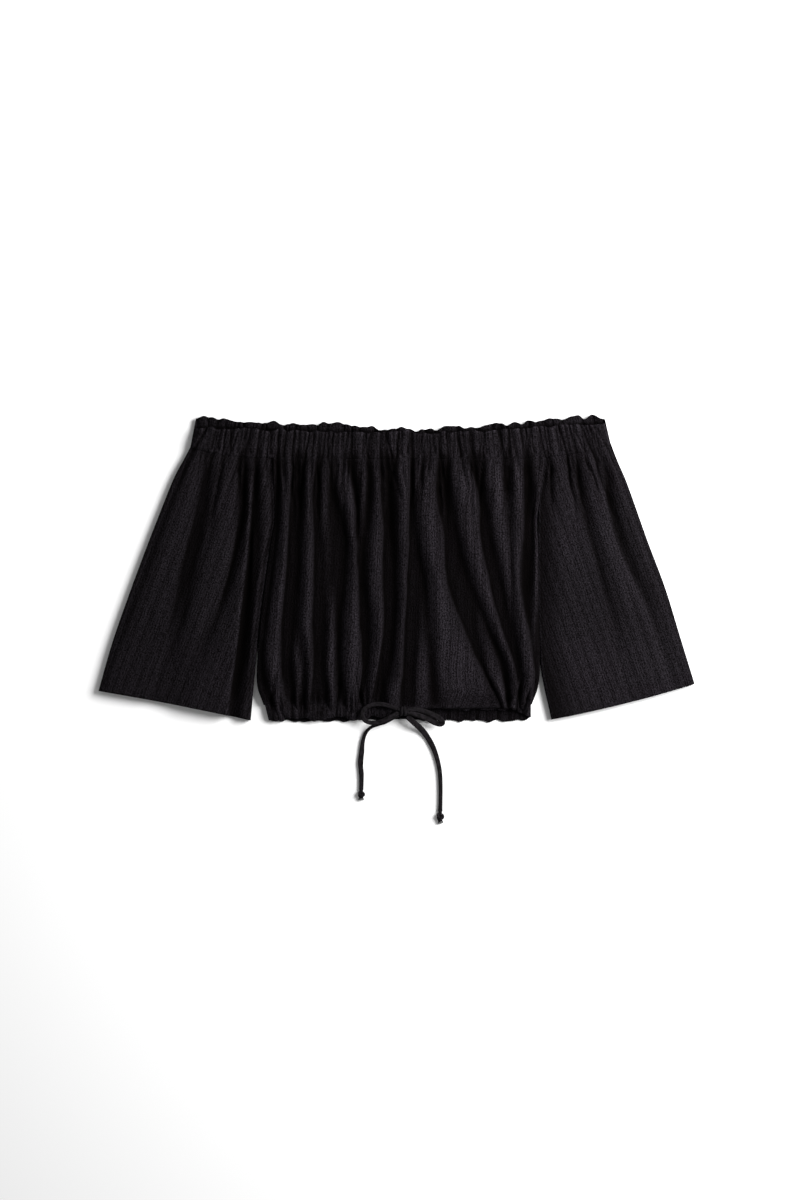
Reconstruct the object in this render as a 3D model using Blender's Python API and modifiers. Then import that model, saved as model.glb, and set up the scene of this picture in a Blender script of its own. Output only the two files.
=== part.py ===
"""Off-shoulder top, laid flat with its front side up.

A short gathered body, two flared sleeves, a frilled elastic casing round the neck, a casing round
the hem, and a narrow drawstring tied in a bow at the front of the hem.

Units are metres. The surface that the top lies on is z = 0, +Y points to the neckline, and left and
right are -X and +X, as seen from above. Every cloth piece is an open surface, which is the outer face
of the cloth, with its thickness added inwards.
"""

import math

import bmesh
import bpy

# Cloth and seams
CLOTH = 0.0012
SEAM_GAP = 0.0003

# The tube of cloth, pressed flat: outer heights of its upper layer, and the fold at its sides
TOP = 0.0092
MID = TOP / 2
FOLD_WIDTH = 0.0050
FOLD_STEPS = 3
EDGE_REACH = 0.0065

# Gathers along the neck casing and the hem casing
NECK_PITCH = 0.0119
HEM_PITCH = 0.0122
POINTS_PER_GATHER = 4
GATHER_HEIGHT = 0.0012
NECK_LEVELS = (1.0, 0.58, 0.0)
NECK_RISES = (0.0038, 0.0014, 2 * GATHER_HEIGHT)
BACK_NECK_RISES = (0.0012, 0.0, 0.0)
HEM_LEVELS = (0.0, 0.5, 1.0)
HEM_RISES = (0.0012, 0.0020, 0.0016)
FRILL_TAPER = 0.027

# Drawstring
TIE_DIAMETER = 0.0044
TIE_REST = TIE_DIAMETER / 2 + 0.0001
TIE_STEP = 0.0070

# Neck casing: the seam to the panels and the frill's edge, of the front and of the back
NECK_COLUMNS = ("x", "front_seam", "front_edge", "back_seam", "back_edge")
NECK = [
    (-0.2270, 0.1342, 0.1545, 0.1342, 0.1660),
    (-0.2162, 0.1304, 0.1552, 0.1364, 0.1676),
    (-0.1810, 0.1243, 0.1546, 0.1342, 0.1645),
    (-0.1370, 0.1221, 0.1529, 0.1304, 0.1601),
    (-0.0677, 0.1216, 0.1507, 0.1260, 0.1584),
    (0.0039, 0.1210, 0.1502, 0.1232, 0.1529),
    (0.0809, 0.1216, 0.1507, 0.1260, 0.1562),
    (0.1634, 0.1232, 0.1562, 0.1320, 0.1628),
    (0.2074, 0.1287, 0.1590, 0.1353, 0.1667),
    (0.2261, 0.1337, 0.1600, 0.1375, 0.1678),
    (0.2360, 0.1375, 0.1600, 0.1375, 0.1650),
]

# Hem casing: its stitched top and its lower edge, of the front and of the back, and how much the
# front is gathered there
HEM_COLUMNS = ("x", "front_top", "front_edge", "back_top", "back_edge", "gathers")
HEM = [
    (-0.1452, -0.1485, -0.1662, -0.1485, -0.1668, 1.0),
    (-0.1062, -0.1485, -0.1656, -0.1496, -0.1674, 1.0),
    (-0.0512, -0.1474, -0.1645, -0.1496, -0.1666, 1.0),
    (-0.0127, -0.1463, -0.1628, -0.1496, -0.1662, 0.7),
    (0.0094, -0.1441, -0.1573, -0.1496, -0.1664, 0.2),
    (0.0314, -0.1419, -0.1549, -0.1496, -0.1670, 0.1),
    (0.0699, -0.1414, -0.1547, -0.1496, -0.1676, 0.1),
    (0.1139, -0.1419, -0.1542, -0.1496, -0.1670, 0.1),
    (0.1337, -0.1441, -0.1568, -0.1496, -0.1662, 0.4),
    (0.1480, -0.1478, -0.1632, -0.1478, -0.1632, 1.0),
]

# Body: its two side edges. Above the armpits they are the armhole seams.
LEFT_ARMPIT = 0.0517
RIGHT_ARMPIT = 0.0759
ARMPITS = (LEFT_ARMPIT, RIGHT_ARMPIT)
SIDE_COLUMNS = ("y", "left", "right")
SIDES = [
    (0.1400, -0.1366, 0.1640),
    (0.1221, -0.1364, 0.1634),
    (0.1034, -0.1356, 0.1612),
    (0.0759, -0.1345, 0.1576),
    (0.0517, -0.1345, 0.1545),
    (0.0264, -0.1377, 0.1538),
    (-0.0011, -0.1412, 0.1536),
    (-0.0341, -0.1447, 0.1536),
    (-0.0671, -0.1480, 0.1538),
    (-0.1001, -0.1505, 0.1538),
    (-0.1276, -0.1502, 0.1524),
    (-0.1485, -0.1452, 0.1480),
]

# Front panel: the crest of each fold, from the neck down to the hem
FOLD_STATIONS = (0.1221, 0.0759, 0.0099, -0.0671, -0.1441)
FOLD_COLUMNS = ("neck", "bust", "middle", "waist", "hem", "half_width", "height")
FRONT_FOLDS = [
    (-0.1150, -0.1200, -0.1290, -0.1365, -0.1280, 0.0100, 0.0065),
    (-0.0935, -0.0960, -0.1020, -0.1030, -0.1010, 0.0100, 0.0070),
    (-0.0765, -0.0700, -0.0720, -0.0770, -0.0780, 0.0090, 0.0035),
    (-0.0580, -0.0490, -0.0510, -0.0470, -0.0520, 0.0110, 0.0075),
    (-0.0205, -0.0175, -0.0260, -0.0225, -0.0370, 0.0100, 0.0060),
    (0.0045, 0.0070, 0.0050, -0.0005, -0.0070, 0.0095, 0.0080),
    (0.0235, 0.0225, 0.0320, 0.0390, 0.0445, 0.0120, 0.0055),
    (0.0400, 0.0480, 0.0550, 0.0730, 0.1000, 0.0110, 0.0060),
    (0.0590, 0.0675, 0.0820, 0.1060, 0.1230, 0.0100, 0.0075),
    (0.0980, 0.1030, 0.1110, 0.1270, 0.1350, 0.0100, 0.0050),
    (0.1370, 0.1370, 0.1335, 0.1400, 0.1400, 0.0090, 0.0060),
]
FRONT_ROWS = (0.0, 0.045, 0.13, 0.24, 0.36, 0.49, 0.62, 0.75, 0.87, 0.955, 1.0)
BACK_ROWS = (0.0, 0.05, 0.14, 0.22, 0.28, 0.36, 0.60, 0.85, 0.95, 1.0)
PUFF = 0.0030
GATHER_REACH = 0.34

# Sleeves: the inner and the outer edge at shares of the length, from the neck down to the cuff.
# Above the armpit the inner edge is the armhole seam.
SLEEVE_COLUMNS = ("share", "inner_x", "inner_y", "outer_x", "outer_y")
LEFT_SLEEVE = [
    (0.00, -0.1367, 0.1218, -0.2266, 0.1339),
    (0.12, -0.1357, 0.0870, -0.2442, 0.1020),
    (0.24, -0.1348, 0.0517, -0.2574, 0.0698),
    (0.40, -0.1432, 0.0057, -0.2742, 0.0268),
    (0.60, -0.1503, -0.0518, -0.2941, -0.0268),
    (0.80, -0.1556, -0.1092, -0.3128, -0.0805),
    (1.00, -0.1606, -0.1667, -0.3282, -0.1342),
]
LEFT_SLEEVE_ARMPIT = 0.24
LEFT_CUFF_BOW = -0.0012
RIGHT_SLEEVE = [
    (0.00, 0.1637, 0.1229, 0.2360, 0.1372),
    (0.08, 0.1609, 0.0990, 0.2442, 0.1170),
    (0.16, 0.1579, 0.0759, 0.2536, 0.0953),
    (0.40, 0.1570, 0.0069, 0.2762, 0.0319),
    (0.60, 0.1573, -0.0506, 0.2960, -0.0209),
    (0.80, 0.1588, -0.1081, 0.3122, -0.0737),
    (1.00, 0.1705, -0.1656, 0.3284, -0.1265),
]
RIGHT_SLEEVE_ARMPIT = 0.16
RIGHT_CUFF_BOW = 0.0024
SLEEVE_ROWS_ABOVE = 3
SLEEVE_ROWS_BELOW = 6
SLEEVE_TOP_STEPS = 28
SLEEVE_UNDER_STEPS = 8

# Folds of a sleeve's upper layer: the crest as a share of the width from the inner edge, at four
# shares of the length, its half width as such a share too, and its height. A pleat goes down.
SLEEVE_FOLD_STATIONS = (0.0, 0.25, 0.6, 1.0)
SLEEVE_FOLD_COLUMNS = ("neck", "armpit", "middle", "cuff", "half_width", "height")
LEFT_SLEEVE_FOLDS = [
    (0.91, 0.90, 0.92, 0.93, 0.085, 0.0040),
    (0.62, 0.57, 0.53, 0.55, 0.130, 0.0050),
    (0.26, 0.23, 0.23, 0.26, 0.075, 0.0060),
    (0.155, 0.145, 0.140, 0.135, 0.045, -0.0038),
]
RIGHT_SLEEVE_FOLDS = [
    (0.20, 0.22, 0.24, 0.22, 0.150, 0.0040),
    (0.62, 0.62, 0.60, 0.58, 0.160, 0.0045),
    (0.90, 0.90, 0.90, 0.90, 0.090, 0.0040),
]

# Drawstring routes, through points chosen along each strand: x, y and z
KNOT_CENTRE = (0.0077, -0.1562, 0.0147)
KNOT_SIZE = (0.0120, 0.0112, 0.0084)
LEFT_LOOP = [
    (0.0012, -0.1540, 0.0150),
    (-0.0070, -0.1508, 0.0142),
    (-0.0170, -0.1486, 0.0137),
    (-0.0268, -0.1492, 0.0136),
    (-0.0346, -0.1532, 0.0136),
    (-0.0378, -0.1597, 0.0136),
    (-0.0350, -0.1660, 0.0138),
    (-0.0278, -0.1690, 0.0144),
    (-0.0180, -0.1676, 0.0156),
    (-0.0075, -0.1630, 0.0169),
    (0.0012, -0.1584, 0.0168),
]
RIGHT_LOOP = [
    (0.0142, -0.1538, 0.0152),
    (0.0215, -0.1533, 0.0138),
    (0.0315, -0.1550, 0.0126),
    (0.0410, -0.1590, 0.0120),
    (0.0488, -0.1642, 0.0114),
    (0.0514, -0.1690, 0.0106),
    (0.0484, -0.1722, 0.0096),
    (0.0420, -0.1716, 0.0094),
    (0.0330, -0.1672, 0.0104),
    (0.0240, -0.1626, 0.0122),
    (0.0142, -0.1586, 0.0140),
]
LEFT_TAIL = [
    (0.0012, -0.1604, 0.0126),
    (-0.0062, -0.1648, 0.0126),
    (-0.0140, -0.1688, 0.0116),
    (-0.0212, -0.1712, 0.0092),
    (-0.0280, -0.1742, 0.0050),
    (-0.0334, -0.1796, TIE_REST),
    (-0.0368, -0.1888, TIE_REST),
    (-0.0384, -0.2020, TIE_REST),
    (-0.0396, -0.2140, TIE_REST),
    (-0.0386, -0.2280, TIE_REST),
    (-0.0388, -0.2432, TIE_REST),
]
RIGHT_TAIL = [
    (0.0120, -0.1622, 0.0120),
    (0.0160, -0.1660, 0.0111),
    (0.0214, -0.1708, 0.0093),
    (0.0272, -0.1764, 0.0048),
    (0.0338, -0.1848, TIE_REST),
    (0.0405, -0.1968, TIE_REST),
    (0.0450, -0.2098, TIE_REST),
    (0.0478, -0.2240, TIE_REST),
    (0.0486, -0.2390, TIE_REST),
    (0.0486, -0.2540, TIE_REST),
    (0.0482, -0.2668, TIE_REST),
]
LEFT_END_SIZE = (0.0066, 0.0092, 0.0056)
RIGHT_END_SIZE = (0.0078, 0.0112, 0.0056)

BLACK_CRINKLE = ("black crinkled crepe", (0.010, 0.0095, 0.011, 1.0), 0.82)
BLACK_TIE = ("black self-fabric tie", (0.012, 0.011, 0.013, 1.0), 0.78)


def smooth(share):
    """0 at 0 and below, 1 at 1 and above, with an even slope between."""
    share = min(1.0, max(0.0, share))
    return share * share * (3.0 - 2.0 * share)


def read_curve(stations, values, at):
    """The value at a place on the smooth curve through the values at rising stations."""
    at = min(stations[-1], max(stations[0], at))
    i = 0
    while i < len(stations) - 2 and at > stations[i + 1]:
        i += 1
    slopes = []
    for k in (i, i + 1):
        low, high = max(0, k - 1), min(len(stations) - 1, k + 1)
        slopes.append((values[high] - values[low]) / (stations[high] - stations[low]))
    width = stations[i + 1] - stations[i]
    t = (at - stations[i]) / width
    return (
        (2 * t**3 - 3 * t**2 + 1) * values[i]
        + (t**3 - 2 * t**2 + t) * width * slopes[0]
        + (3 * t**2 - 2 * t**3) * values[i + 1]
        + (t**3 - t**2) * width * slopes[1]
    )


def column_of(table, names, name):
    """One named column of a table, as a list."""
    index = names.index(name)
    return [row[index] for row in table]


def neck(name, x):
    """A named line of the neck casing, at x."""
    return read_curve(column_of(NECK, NECK_COLUMNS, "x"), column_of(NECK, NECK_COLUMNS, name), x)


def hem(name, x):
    """A named line of the hem casing, at x."""
    return read_curve(column_of(HEM, HEM_COLUMNS, "x"), column_of(HEM, HEM_COLUMNS, name), x)


def side(name, y):
    """A side edge of the body, at y."""
    rows = SIDES[::-1]
    return read_curve(column_of(rows, SIDE_COLUMNS, "y"), column_of(rows, SIDE_COLUMNS, name), y)


def gather(x, pitch):
    """The wave of the gathers at x, from 0 in a trough to 1 on a crest, a little uneven."""
    turns = x / pitch + 0.22 * math.sin(x / 0.0132) + 0.12 * math.sin(x / 0.0075 + 1.0)
    return 0.5 + 0.5 * math.cos(2 * math.pi * turns)


def crest(distance, half_width):
    """The rounded section of a fold, 1 on its crest and 0 from its half width on."""
    share = min(1.0, abs(distance) / half_width)
    return 0.5 + 0.5 * math.cos(math.pi * share)


def opening(y, armpit):
    """How far the armhole stands open at y, from 1 at the neck to 0 at the armpit and below."""
    neck_y = 0.1221
    share = (neck_y - y) / (neck_y - armpit)
    return math.sqrt(max(0.0, 1.0 - min(1.0, max(0.0, share)) ** 2))


def fold_step(step):
    """Across a side fold, (share of its width, share of its height), from the seam to the layer."""
    angle = math.pi / 2 * step / FOLD_STEPS
    return (1.0 - math.cos(angle)) ** 2, math.sin(angle)


def across(left, right, steps):
    """Places from the left seam to the right one: (x, share of the left rise, share of the right)."""
    places = [(left + FOLD_WIDTH * fold_step(k)[0], fold_step(k)[1], 1.0) for k in range(FOLD_STEPS)]
    inner_left, inner_right = left + FOLD_WIDTH, right - FOLD_WIDTH
    for k in range(steps + 1):
        places.append((inner_left + (inner_right - inner_left) * k / steps, 1.0, 1.0))
    for k in range(FOLD_STEPS - 1, -1, -1):
        places.append((right - FOLD_WIDTH * fold_step(k)[0], 1.0, fold_step(k)[1]))
    return places


def on_fold(height, left_seam, right_seam, left_rise, right_rise):
    """The height of a point where a layer comes round to the heights of its two seams."""
    if left_rise < 1.0:
        return left_seam + (height - left_seam) * left_rise
    return right_seam + (height - right_seam) * right_rise


def edge_window(x, left, right):
    """0 at the layer's two edges and 1 from a few millimetres inside."""
    return smooth(min(x - left, right - x) / EDGE_REACH)


def cloth_material(look):
    """A Principled material from (name, colour, roughness)."""
    name, colour, roughness = look
    material = bpy.data.materials.get(name)
    if material is None:
        material = bpy.data.materials.new(name)
        material.use_nodes = True
        shader = material.node_tree.nodes["Principled BSDF"]
        shader.inputs["Base Color"].default_value = colour
        shader.inputs["Roughness"].default_value = roughness
        shader.inputs["Metallic"].default_value = 0.0
    return material


def add_object(name, data, look, collection):
    """A new object of the garment, with its material."""
    obj = bpy.data.objects.new(name, data)
    collection.objects.link(obj)
    data.materials.append(cloth_material(look))
    return obj


def add_cloth(name, rows, collection):
    """A wall of cloth whose outer face runs through rows of points.

    Rows run from the neck to the hem. Along a row the points run so that the outer face is on the
    left of the walk down a row's side. A row whose last point is its first one closes into a tube.
    """
    mesh = bpy.data.meshes.new(name)
    made = bmesh.new()
    grid = []
    for row in rows:
        closes = math.dist(row[0], row[-1]) < 1e-7
        verts = [made.verts.new(point) for point in (row[:-1] if closes else row)]
        grid.append(verts + verts[:1] if closes else verts)
    for upper, lower in zip(grid, grid[1:]):
        for k in range(len(upper) - 1):
            corners = (upper[k], lower[k], lower[k + 1], upper[k + 1])
            made.faces.new(list(dict.fromkeys(corners)))
    made.to_mesh(mesh)
    made.free()
    mesh.shade_smooth()
    obj = add_object(name, mesh, BLACK_CRINKLE, collection)
    wall = obj.modifiers.new("wall", "SOLIDIFY")
    wall.thickness = CLOTH
    wall.offset = -1.0
    return obj


def fold_lines(y, left, right):
    """The panel's two edges and, between them, the crest of each fold at y."""
    crests = [read_curve(FOLD_STATIONS[::-1], fold[4::-1], y) for fold in FRONT_FOLDS]
    return [left + FOLD_WIDTH, *crests, right - FOLD_WIDTH]


def along_folds(place, neck_lines, lines):
    """Where the thread that starts at a place on the neck line lies, as the folds spread."""
    i = 0
    while i < len(neck_lines) - 2 and place > neck_lines[i + 1]:
        i += 1
    share = (place - neck_lines[i]) / (neck_lines[i + 1] - neck_lines[i])
    return lines[i] + (lines[i + 1] - lines[i]) * share


def front_height(x, share, neck_x, lines):
    """The outer height of the front panel: its puff, its folds, and the gathers at both ends."""
    settled = smooth((share - FRONT_ROWS[1]) / 0.12) * smooth((FRONT_ROWS[-2] - share) / 0.10)
    folds = sum(fold[6] * crest(x - line, fold[5]) for fold, line in zip(FRONT_FOLDS, lines[1:-1]))
    neck_fade = 1.0 - smooth((share - FRONT_ROWS[1]) / GATHER_REACH)
    gathers = 2 * GATHER_HEIGHT * gather(neck_x, NECK_PITCH) * neck_fade
    gathers += HEM_RISES[0] * hem("gathers", x) * gather(x, HEM_PITCH) * smooth((share - 0.85) / 0.12)
    window = edge_window(x, lines[0], lines[-1])
    return TOP + window * ((PUFF + folds) * settled + gathers)


def make_front_panel(collection):
    """The gathered front, from the neck casing to the hem casing and between the side seams."""
    neck_line, hem_line = 0.1221, -0.1485
    steps = POINTS_PER_GATHER * round((0.3000 - 2 * FOLD_WIDTH) / NECK_PITCH)
    rows, neck_places, neck_lines = [], [], []
    for share in FRONT_ROWS:
        level = neck_line + (hem_line - neck_line) * share
        left = side("left", level) + SEAM_GAP / 2
        right = side("right", level) - SEAM_GAP / 2
        seams = [MID + SEAM_GAP / 2 + (TOP - MID) * opening(level, pit) for pit in ARMPITS]
        lines = fold_lines(level, left, right)
        places = across(left, right, steps)
        neck_places = neck_places or [x for x, _, _ in places]
        neck_lines = neck_lines or lines
        row = []
        for neck_x, (x, left_rise, right_rise) in zip(neck_places, places):
            if left_rise == right_rise == 1.0:
                x = along_folds(neck_x, neck_lines, lines)
            top = neck("front_seam", x) - SEAM_GAP
            bottom = hem("front_top", x) + SEAM_GAP
            height = front_height(x, share, neck_x, lines)
            z = on_fold(height, *seams, left_rise, right_rise)
            row.append((x, top + (bottom - top) * share, z))
        rows.append(row)
    return add_cloth("front_panel", rows, collection)


def make_back_panel(collection):
    """The back, which lies flat on the surface and comes up at the side seams."""
    neck_line, hem_line = 0.1260, -0.1496
    steps = 22
    rows = []
    for share in BACK_ROWS:
        level = neck_line + (hem_line - neck_line) * share
        left = side("left", level) + SEAM_GAP / 2
        right = side("right", level) - SEAM_GAP / 2
        seams = [(MID - SEAM_GAP / 2) * (1 - opening(level, pit)) for pit in ARMPITS]
        row = []
        for x, left_rise, right_rise in across(left, right, steps):
            top = neck("back_seam", x) - SEAM_GAP
            bottom = hem("back_top", x) + SEAM_GAP
            z = on_fold(0.0, *seams, left_rise, right_rise)
            row.append((x, top + (bottom - top) * share, z))
        rows.append(row)
    return add_cloth("back_panel", flipped(rows), collection)


def sleeve_height(across_share, share, folds):
    """The outer height of a sleeve's upper layer, without the gathers at the neck."""
    settled = smooth((share - 0.06) / 0.14)
    height = TOP
    for fold in folds:
        centre = read_curve(SLEEVE_FOLD_STATIONS, fold[:4], share)
        height += fold[5] * crest(across_share - centre, fold[4]) * settled
    return height


def sleeve_section(share, width, opened, folds):
    """A sleeve's section, (distance from the inner edge, height, whether in the upper layer)."""
    upper_seam, lower_seam = MID + MID * opened, MID - MID * opened
    points = []
    for k in range(FOLD_STEPS):
        out, up = fold_step(k)
        points.append((FOLD_WIDTH * out, upper_seam + (TOP - upper_seam) * up, True))
    flat = width - 2 * FOLD_WIDTH
    for k in range(SLEEVE_TOP_STEPS + 1):
        distance = FOLD_WIDTH + flat * k / SLEEVE_TOP_STEPS
        window = smooth((distance - FOLD_WIDTH) / 0.006) * smooth((width - FOLD_WIDTH - distance) / 0.006)
        height = TOP + (sleeve_height(distance / width, share, folds) - TOP) * window
        points.append((distance, height, True))
    for k in range(1, 2 * FOLD_STEPS):
        angle = math.pi * (0.5 - k / (2 * FOLD_STEPS))
        out = width - FOLD_WIDTH + FOLD_WIDTH * math.cos(angle)
        points.append((out, MID + MID * math.sin(angle), k < FOLD_STEPS))
    for k in range(SLEEVE_UNDER_STEPS + 1):
        points.append((width - FOLD_WIDTH - flat * k / SLEEVE_UNDER_STEPS, 0.0, False))
    for k in range(FOLD_STEPS - 1, -1, -1):
        out, up = fold_step(k)
        points.append((FOLD_WIDTH * out, lower_seam * (1 - up), False))
    return points


def make_sleeve(name, table, armpit, bow, folds, collection):
    """A flared sleeve: a tube, open at the neck, at the cuff and along the armhole seam."""
    shares = [armpit * k / SLEEVE_ROWS_ABOVE for k in range(SLEEVE_ROWS_ABOVE)]
    shares += [armpit + (1 - armpit) * k / SLEEVE_ROWS_BELOW for k in range(SLEEVE_ROWS_BELOW + 1)]
    stations = column_of(table, SLEEVE_COLUMNS, "share")
    towards = -1 if table[0][1] < 0 else 1
    rows, rises = [], []
    for share in shares:
        inner_x, inner_y, outer_x, outer_y = (
            read_curve(stations, column_of(table, SLEEVE_COLUMNS, name_), share)
            for name_ in SLEEVE_COLUMNS[1:]
        )
        inner_x += towards * SEAM_GAP / 2
        width = math.hypot(outer_x - inner_x, outer_y - inner_y)
        opened = math.sqrt(max(0.0, 1 - (share / armpit) ** 2)) if share < armpit else 0.0
        row = []
        for k, (distance, z, upper) in enumerate(sleeve_section(share, width, opened, folds)):
            x = inner_x + (outer_x - inner_x) * distance / width
            y = inner_y + (outer_y - inner_y) * distance / width
            if not rows:
                rises.append(neck("front_seam" if upper else "back_seam", x) - SEAM_GAP - y)
            y += rises[k] * (1 - smooth(share / 0.3))
            y -= 4 * bow * (distance / width) * (1 - distance / width) * smooth(share)
            inside = FOLD_WIDTH < distance < width - FOLD_WIDTH
            if upper and inside:
                window = smooth((distance - FOLD_WIDTH) / 0.006) * smooth((width - FOLD_WIDTH - distance) / 0.006)
                fade = 1 - smooth((share - 0.06) / GATHER_REACH)
                z += 2 * GATHER_HEIGHT * gather(x, NECK_PITCH) * window * fade
            row.append((x, y, z))
        rows.append(row[::-1] if towards < 0 else row)
    return add_cloth(name, rows, collection)


def flipped(rows):
    """The same rows walked the other way, so that the outer face is below."""
    return [row[::-1] for row in rows]


def casing_rows(ends, pitch, lines, levels, wave, base, seam):
    """Rows along a casing: its two edge lines, and a wave of gathers over its base at each level."""
    steps = POINTS_PER_GATHER * round((ends[1] - ends[0]) / pitch)
    rows = []
    for level in levels:
        row = []
        for x, left_rise, right_rise in across(*ends, steps):
            start, end = lines(x)
            window = edge_window(x, ends[0] + FOLD_WIDTH, ends[1] - FOLD_WIDTH)
            height = base + wave(x, level) * gather(x, pitch) * window
            z = on_fold(height, seam, seam, left_rise, right_rise)
            row.append((x, start + (end - start) * level, z))
        rows.append(row)
    return rows


def make_neck_casing(collection):
    """The elastic casing round the neck with its frill, as a front half and a back half."""
    ends = (NECK[0][0], NECK[-1][0])
    for half, base, seam, rises in (
        ("front", TOP, MID + SEAM_GAP / 2, NECK_RISES),
        ("back", 0.0, MID - SEAM_GAP / 2, BACK_NECK_RISES),
    ):
        rows = casing_rows(
            ends,
            NECK_PITCH,
            lambda x: (neck(half + "_seam", x), neck(half + "_edge", x)),
            NECK_LEVELS,
            lambda x, level: rises[NECK_LEVELS.index(level)],
            base,
            seam,
        )
        rows = [
            [(x * (1 - FRILL_TAPER * level), y, z) for x, y, z in row]
            for level, row in zip(NECK_LEVELS, rows)
        ]
        add_cloth("neck_casing_" + half, rows if half == "front" else flipped(rows), collection)


def make_hem_casing(collection):
    """The drawstring casing round the hem, as a front half and a back half."""
    ends = (HEM[0][0], HEM[-1][0])
    for half, base, seam, rises in (
        ("front", TOP, MID + SEAM_GAP / 2, HEM_RISES),
        ("back", 0.0, MID - SEAM_GAP / 2, (0.0, 0.0, 0.0)),
    ):
        rows = casing_rows(
            ends,
            HEM_PITCH,
            lambda x: (hem(half + "_top", x), hem(half + "_edge", x)),
            HEM_LEVELS,
            lambda x, level: rises[HEM_LEVELS.index(level)] * hem("gathers", x),
            base,
            seam,
        )
        add_cloth("hem_casing_" + half, rows if half == "front" else flipped(rows), collection)


def route_points(route, step):
    """Points about a step apart, read from the smooth curve through a strand's own points."""
    lengths = [0.0]
    for a, b in zip(route, route[1:]):
        lengths.append(lengths[-1] + math.dist(a, b))
    count = max(2, round(lengths[-1] / step))
    places = [lengths[-1] * k / count for k in range(count + 1)]
    axes = list(zip(*route))
    return [tuple(read_curve(lengths, axis, place) for axis in axes) for place in places]


def make_strand(name, route, collection):
    """A stretch of the drawstring, as a round tube along its route."""
    curve = bpy.data.curves.new(name, "CURVE")
    curve.dimensions = "3D"
    curve.bevel_depth = TIE_DIAMETER / 2
    curve.bevel_resolution = 2
    curve.use_fill_caps = True
    spline = curve.splines.new("POLY")
    points = route_points(route, TIE_STEP)
    spline.points.add(len(points) - 1)
    for target, point in zip(spline.points, points):
        target.co = (*point, 1.0)
    return add_object(name, curve, BLACK_TIE, collection)


def make_knot(name, centre, size, collection):
    """A pulled-tight knot, as a rounded pebble of the given outer size."""
    mesh = bpy.data.meshes.new(name)
    made = bmesh.new()
    bmesh.ops.create_uvsphere(made, u_segments=12, v_segments=8, radius=0.5)
    for vert in made.verts:
        vert.co = [half * s for half, s in zip(vert.co, size)]
    made.to_mesh(mesh)
    made.free()
    mesh.shade_smooth()
    obj = add_object(name, mesh, BLACK_TIE, collection)
    obj.location = centre
    return obj


def make_drawstring(collection):
    """The bow at the front of the hem: its knot, two loops and two tails with knotted ends."""
    make_knot("bow_knot", KNOT_CENTRE, KNOT_SIZE, collection)
    make_strand("bow_loop_left", LEFT_LOOP, collection)
    make_strand("bow_loop_right", RIGHT_LOOP, collection)
    for name, route, size in (
        ("left", LEFT_TAIL, LEFT_END_SIZE),
        ("right", RIGHT_TAIL, RIGHT_END_SIZE),
    ):
        make_strand("tie_" + name, route, collection)
        x, y, _ = route[-1]
        centre = (x, y - SEAM_GAP - size[1] / 2, size[2] / 2 + 0.0001)
        make_knot("tie_end_" + name, centre, size, collection)


def main():
    """Builds the garment in a collection of its own."""
    for obj in list(bpy.data.objects):
        bpy.data.objects.remove(obj)
    collection = bpy.data.collections.new("off_shoulder_top")
    bpy.context.scene.collection.children.link(collection)
    make_front_panel(collection)
    make_back_panel(collection)
    for name, table, armpit, bow, folds in (
        ("sleeve_left", LEFT_SLEEVE, LEFT_SLEEVE_ARMPIT, LEFT_CUFF_BOW, LEFT_SLEEVE_FOLDS),
        ("sleeve_right", RIGHT_SLEEVE, RIGHT_SLEEVE_ARMPIT, RIGHT_CUFF_BOW, RIGHT_SLEEVE_FOLDS),
    ):
        make_sleeve(name, table, armpit, bow, folds, collection)
    make_neck_casing(collection)
    make_hem_casing(collection)
    make_drawstring(collection)


main()
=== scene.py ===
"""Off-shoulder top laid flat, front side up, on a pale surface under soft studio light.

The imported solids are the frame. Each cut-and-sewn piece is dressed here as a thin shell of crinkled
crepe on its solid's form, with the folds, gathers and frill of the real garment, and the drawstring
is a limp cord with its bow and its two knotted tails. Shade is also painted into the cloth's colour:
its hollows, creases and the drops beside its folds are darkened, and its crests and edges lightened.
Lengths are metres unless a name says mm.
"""

import logging
import math
from dataclasses import dataclass, field
from enum import Enum

import bpy
import numpy as np
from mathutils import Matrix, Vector


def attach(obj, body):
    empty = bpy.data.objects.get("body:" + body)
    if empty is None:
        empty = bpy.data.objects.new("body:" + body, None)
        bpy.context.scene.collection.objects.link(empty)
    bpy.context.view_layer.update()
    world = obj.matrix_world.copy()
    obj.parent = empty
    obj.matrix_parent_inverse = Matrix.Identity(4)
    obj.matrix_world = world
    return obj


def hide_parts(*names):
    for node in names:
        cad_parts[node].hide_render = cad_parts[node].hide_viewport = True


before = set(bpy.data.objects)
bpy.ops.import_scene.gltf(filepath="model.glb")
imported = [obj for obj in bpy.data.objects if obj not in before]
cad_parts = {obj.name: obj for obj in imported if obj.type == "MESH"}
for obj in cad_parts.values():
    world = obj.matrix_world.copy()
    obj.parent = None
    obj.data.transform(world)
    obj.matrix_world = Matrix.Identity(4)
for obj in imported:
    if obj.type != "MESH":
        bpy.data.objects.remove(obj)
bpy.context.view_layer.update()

log = logging.getLogger("off_shoulder_top")

MM = 0.001
PHOTO_MM_PER_PIXEL = 1.1
PHOTO_SIZE = (800, 1200)
PHOTO_ORIGIN_PIXEL = (396.5, 569.0)

# The pressed tube of cloth, as in the solids: its top level, its seams' level, how far its pressed
# edges reach in, and its wall
TOP = 0.0092
MID = TOP / 2
EDGE = 0.0040
WALL = 0.0009

# Steps of the random field before it repeats
LATTICE = 97

# The painted shade that flat cloth gets from hollow_shade, and the depth of a full hollow in the big pieces
FLAT_SHADE = 0.52
HOLLOW_DEPTH = 0.0034

# How far from a piece's end its gathers fade out
END_FADE = 0.006

Curve = tuple[float, ...]
Point = tuple[float, float, float]


class Cloth(Enum):
    """The record's material slots."""

    BODY = "cloth"
    TIE = "tie"


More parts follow.
